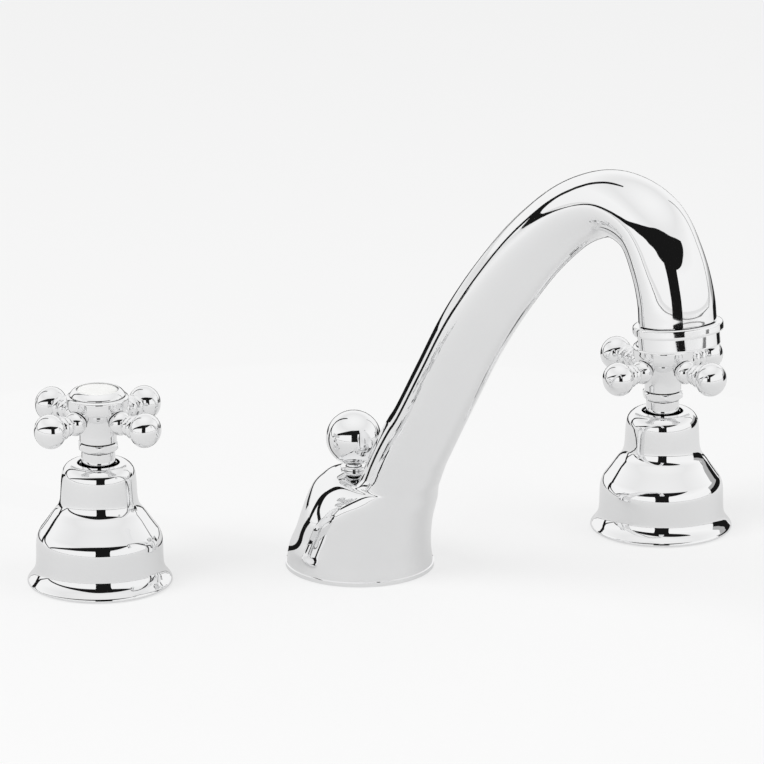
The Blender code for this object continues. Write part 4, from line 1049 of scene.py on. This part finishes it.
def add_world():
    """White to the camera, and to mirrors a sky that changes with the elevation."""
    world = bpy.data.worlds.new("studio")
    bpy.context.scene.world = world
    world.use_nodes = True
    tree = world.node_tree
    tree.nodes.clear()
    coordinates = node(tree, "ShaderNodeTexCoord")
    parts = node(tree, "ShaderNodeSeparateXYZ")
    tree.links.new(coordinates.outputs["Generated"], parts.inputs["Vector"])
    ramp = node(tree, "ShaderNodeValToRGB")
    ramp.color_ramp.elements.remove(ramp.color_ramp.elements[1])
    for k, (share, value) in enumerate(SKY):
        stop = ramp.color_ramp.elements[0] if k == 0 else ramp.color_ramp.elements.new(share)
        stop.position = share
        stop.color = grey(value)
    tree.links.new(ranged(tree, parts.outputs["Z"], 0.0, 1.0, -1.0, 1.0), ramp.inputs["Fac"])
    back = node(tree, "ShaderNodeBackground")
    tree.links.new(white_or_mirrored(tree, ramp.outputs["Color"]), back.inputs["Color"])
    strength = ranged(tree, mirror_and_camera(tree), SKY_LIGHT, 1.0)
    tree.links.new(strength, back.inputs["Strength"])
    out = node(tree, "ShaderNodeOutputWorld")
    tree.links.new(back.outputs["Background"], out.inputs["Surface"])


# Soft lamps: name, heading, distance, height, size of the square, and power in watts
LAMPS = (("key", -55.0, 1.6, 1.9, 1.4, 26.0), ("fill", 75.0, 1.8, 1.3, 1.6, 12.0))
LAMP_AIM = (0.0, 0.0, 50.0 * MM)


def add_lamp(name, turn, away, height, size, power):
    """A soft square lamp that mirrors don't show."""
    data = bpy.data.lights.new(name, "AREA")
    data.shape = "SQUARE"
    data.size = size
    data.energy = power
    item = bpy.data.objects.new(name, data)
    bpy.context.scene.collection.objects.link(item)
    spot = heading(turn) * away + Vector((0.0, 0.0, height))
    item.location = spot
    item.rotation_euler = (Vector(LAMP_AIM) - spot).to_track_quat("-Z", "Y").to_euler()
    item.visible_glossy = False


CARD_PIECES = 24
RIBBON_PIECES = 8
# Shades of the cards
DARK = 0.01
LINE = 0.20
MIDDLE = 0.45
# Far bands, each on a sphere round the object: name, shade, radius, and stations of heading,
# elevation and half-width in degrees
RIBBONS = (
    ("card_stem", DARK, 1.2, (
        (3.5, -1.0, 13.0), (3.5, 12.0, 12.5), (3.5, 24.0, 12.5), (3.5, 33.0, 14.0), (3.5, 38.0, 18.0),
    )),
    ("card_bar", DARK, 1.25, (
        (62.0, 38.0, 0.5), (50.0, 38.5, 3.2), (32.0, 38.5, 6.6), (12.0, 37.8, 8.8), (-8.0, 37.0, 9.2),
        (-26.0, 34.0, 8.0), (-44.0, 29.0, 6.0), (-62.0, 22.0, 4.0), (-78.0, 13.5, 2.6),
        (-92.0, 4.5, 1.6), (-98.0, -0.5, 1.0),
    )),
    ("card_left", DARK, 1.3, (
        (-94.0, -1.5, 0.7), (-105.0, 3.5, 1.2), (-116.0, 9.0, 1.9), (-124.0, 17.0, 2.6),
        (-128.5, 28.0, 3.0), (-130.5, 44.0, 3.0), (-131.0, 60.0, 2.4), (-131.0, 66.0, 1.5),
    )),
    ("card_right", LINE, 1.3, (
        (94.0, -1.5, 0.5), (105.0, 3.5, 0.8), (116.0, 9.0, 1.0), (124.0, 17.0, 1.2),
        (128.5, 28.0, 1.2), (130.5, 44.0, 1.0),
    )),
    ("card_horizon", LINE, 1.4, (
        (-96.0, 0.2, 0.5), (-50.0, 0.2, 0.6), (0.0, 0.2, 0.6), (50.0, 0.2, 0.6), (96.0, 0.2, 0.5),
    )),
    ("card_rear", DARK, 1.3, (
        (163.0, 1.0, 1.0), (171.0, 2.5, 3.5), (180.0, 3.5, 5.0), (189.0, 2.5, 3.5), (197.0, 1.0, 1.0),
    )),
    ("card_strip", DARK, 1.32, ((-122.0, -1.0, 3.0), (-123.5, 8.0, 3.0), (-126.0, 20.0, 3.0))),
)
# Dark pieces on the floor round the spout: name, headings, distances
FLOOR_CARDS = (
    ("card_strip_floor", -127.0, -117.0, 28.0 * MM, 1.3),
    ("card_rear_floor", 140.0, 220.0, 0.24, 0.9),
)
# Near walls beside the cold valve: name, shade, heights. They share one distance and two headings
COLD_WALLS = (("card_cold", DARK, 0.0, 72.0 * MM), ("card_cold_top", MIDDLE, 72.0 * MM, 118.0 * MM))
COLD_WALL_AWAY = 0.28
COLD_WALL_TURNS = (100.0, 146.0)


def add_studio():
    add_world()
    add_floor()
    for values in LAMPS:
        add_lamp(*values)
    shades = {
        DARK: emission("dark_card", grey(DARK)),
        LINE: emission("grey_card", grey(LINE)),
        MIDDLE: emission("mid_card", grey(MIDDLE)),
    }
    for name, shade, radius, stations in RIBBONS:
        ribbon(name, shades[shade], radius, stations)
    for name, left, right, near, far in FLOOR_CARDS:
        floor_card(name, shades[DARK], SPOUT_PLACE, left, right, near, far)
    for name, shade, low, high in COLD_WALLS:
        wall(name, shades[shade], (VALVE_PLACE, 0.0, 0.0), COLD_WALL_AWAY, *COLD_WALL_TURNS, low, high)


dress_nodes()
add_valves()
add_spout()
add_studio()
bpy.context.scene.view_settings.view_transform = "Standard"
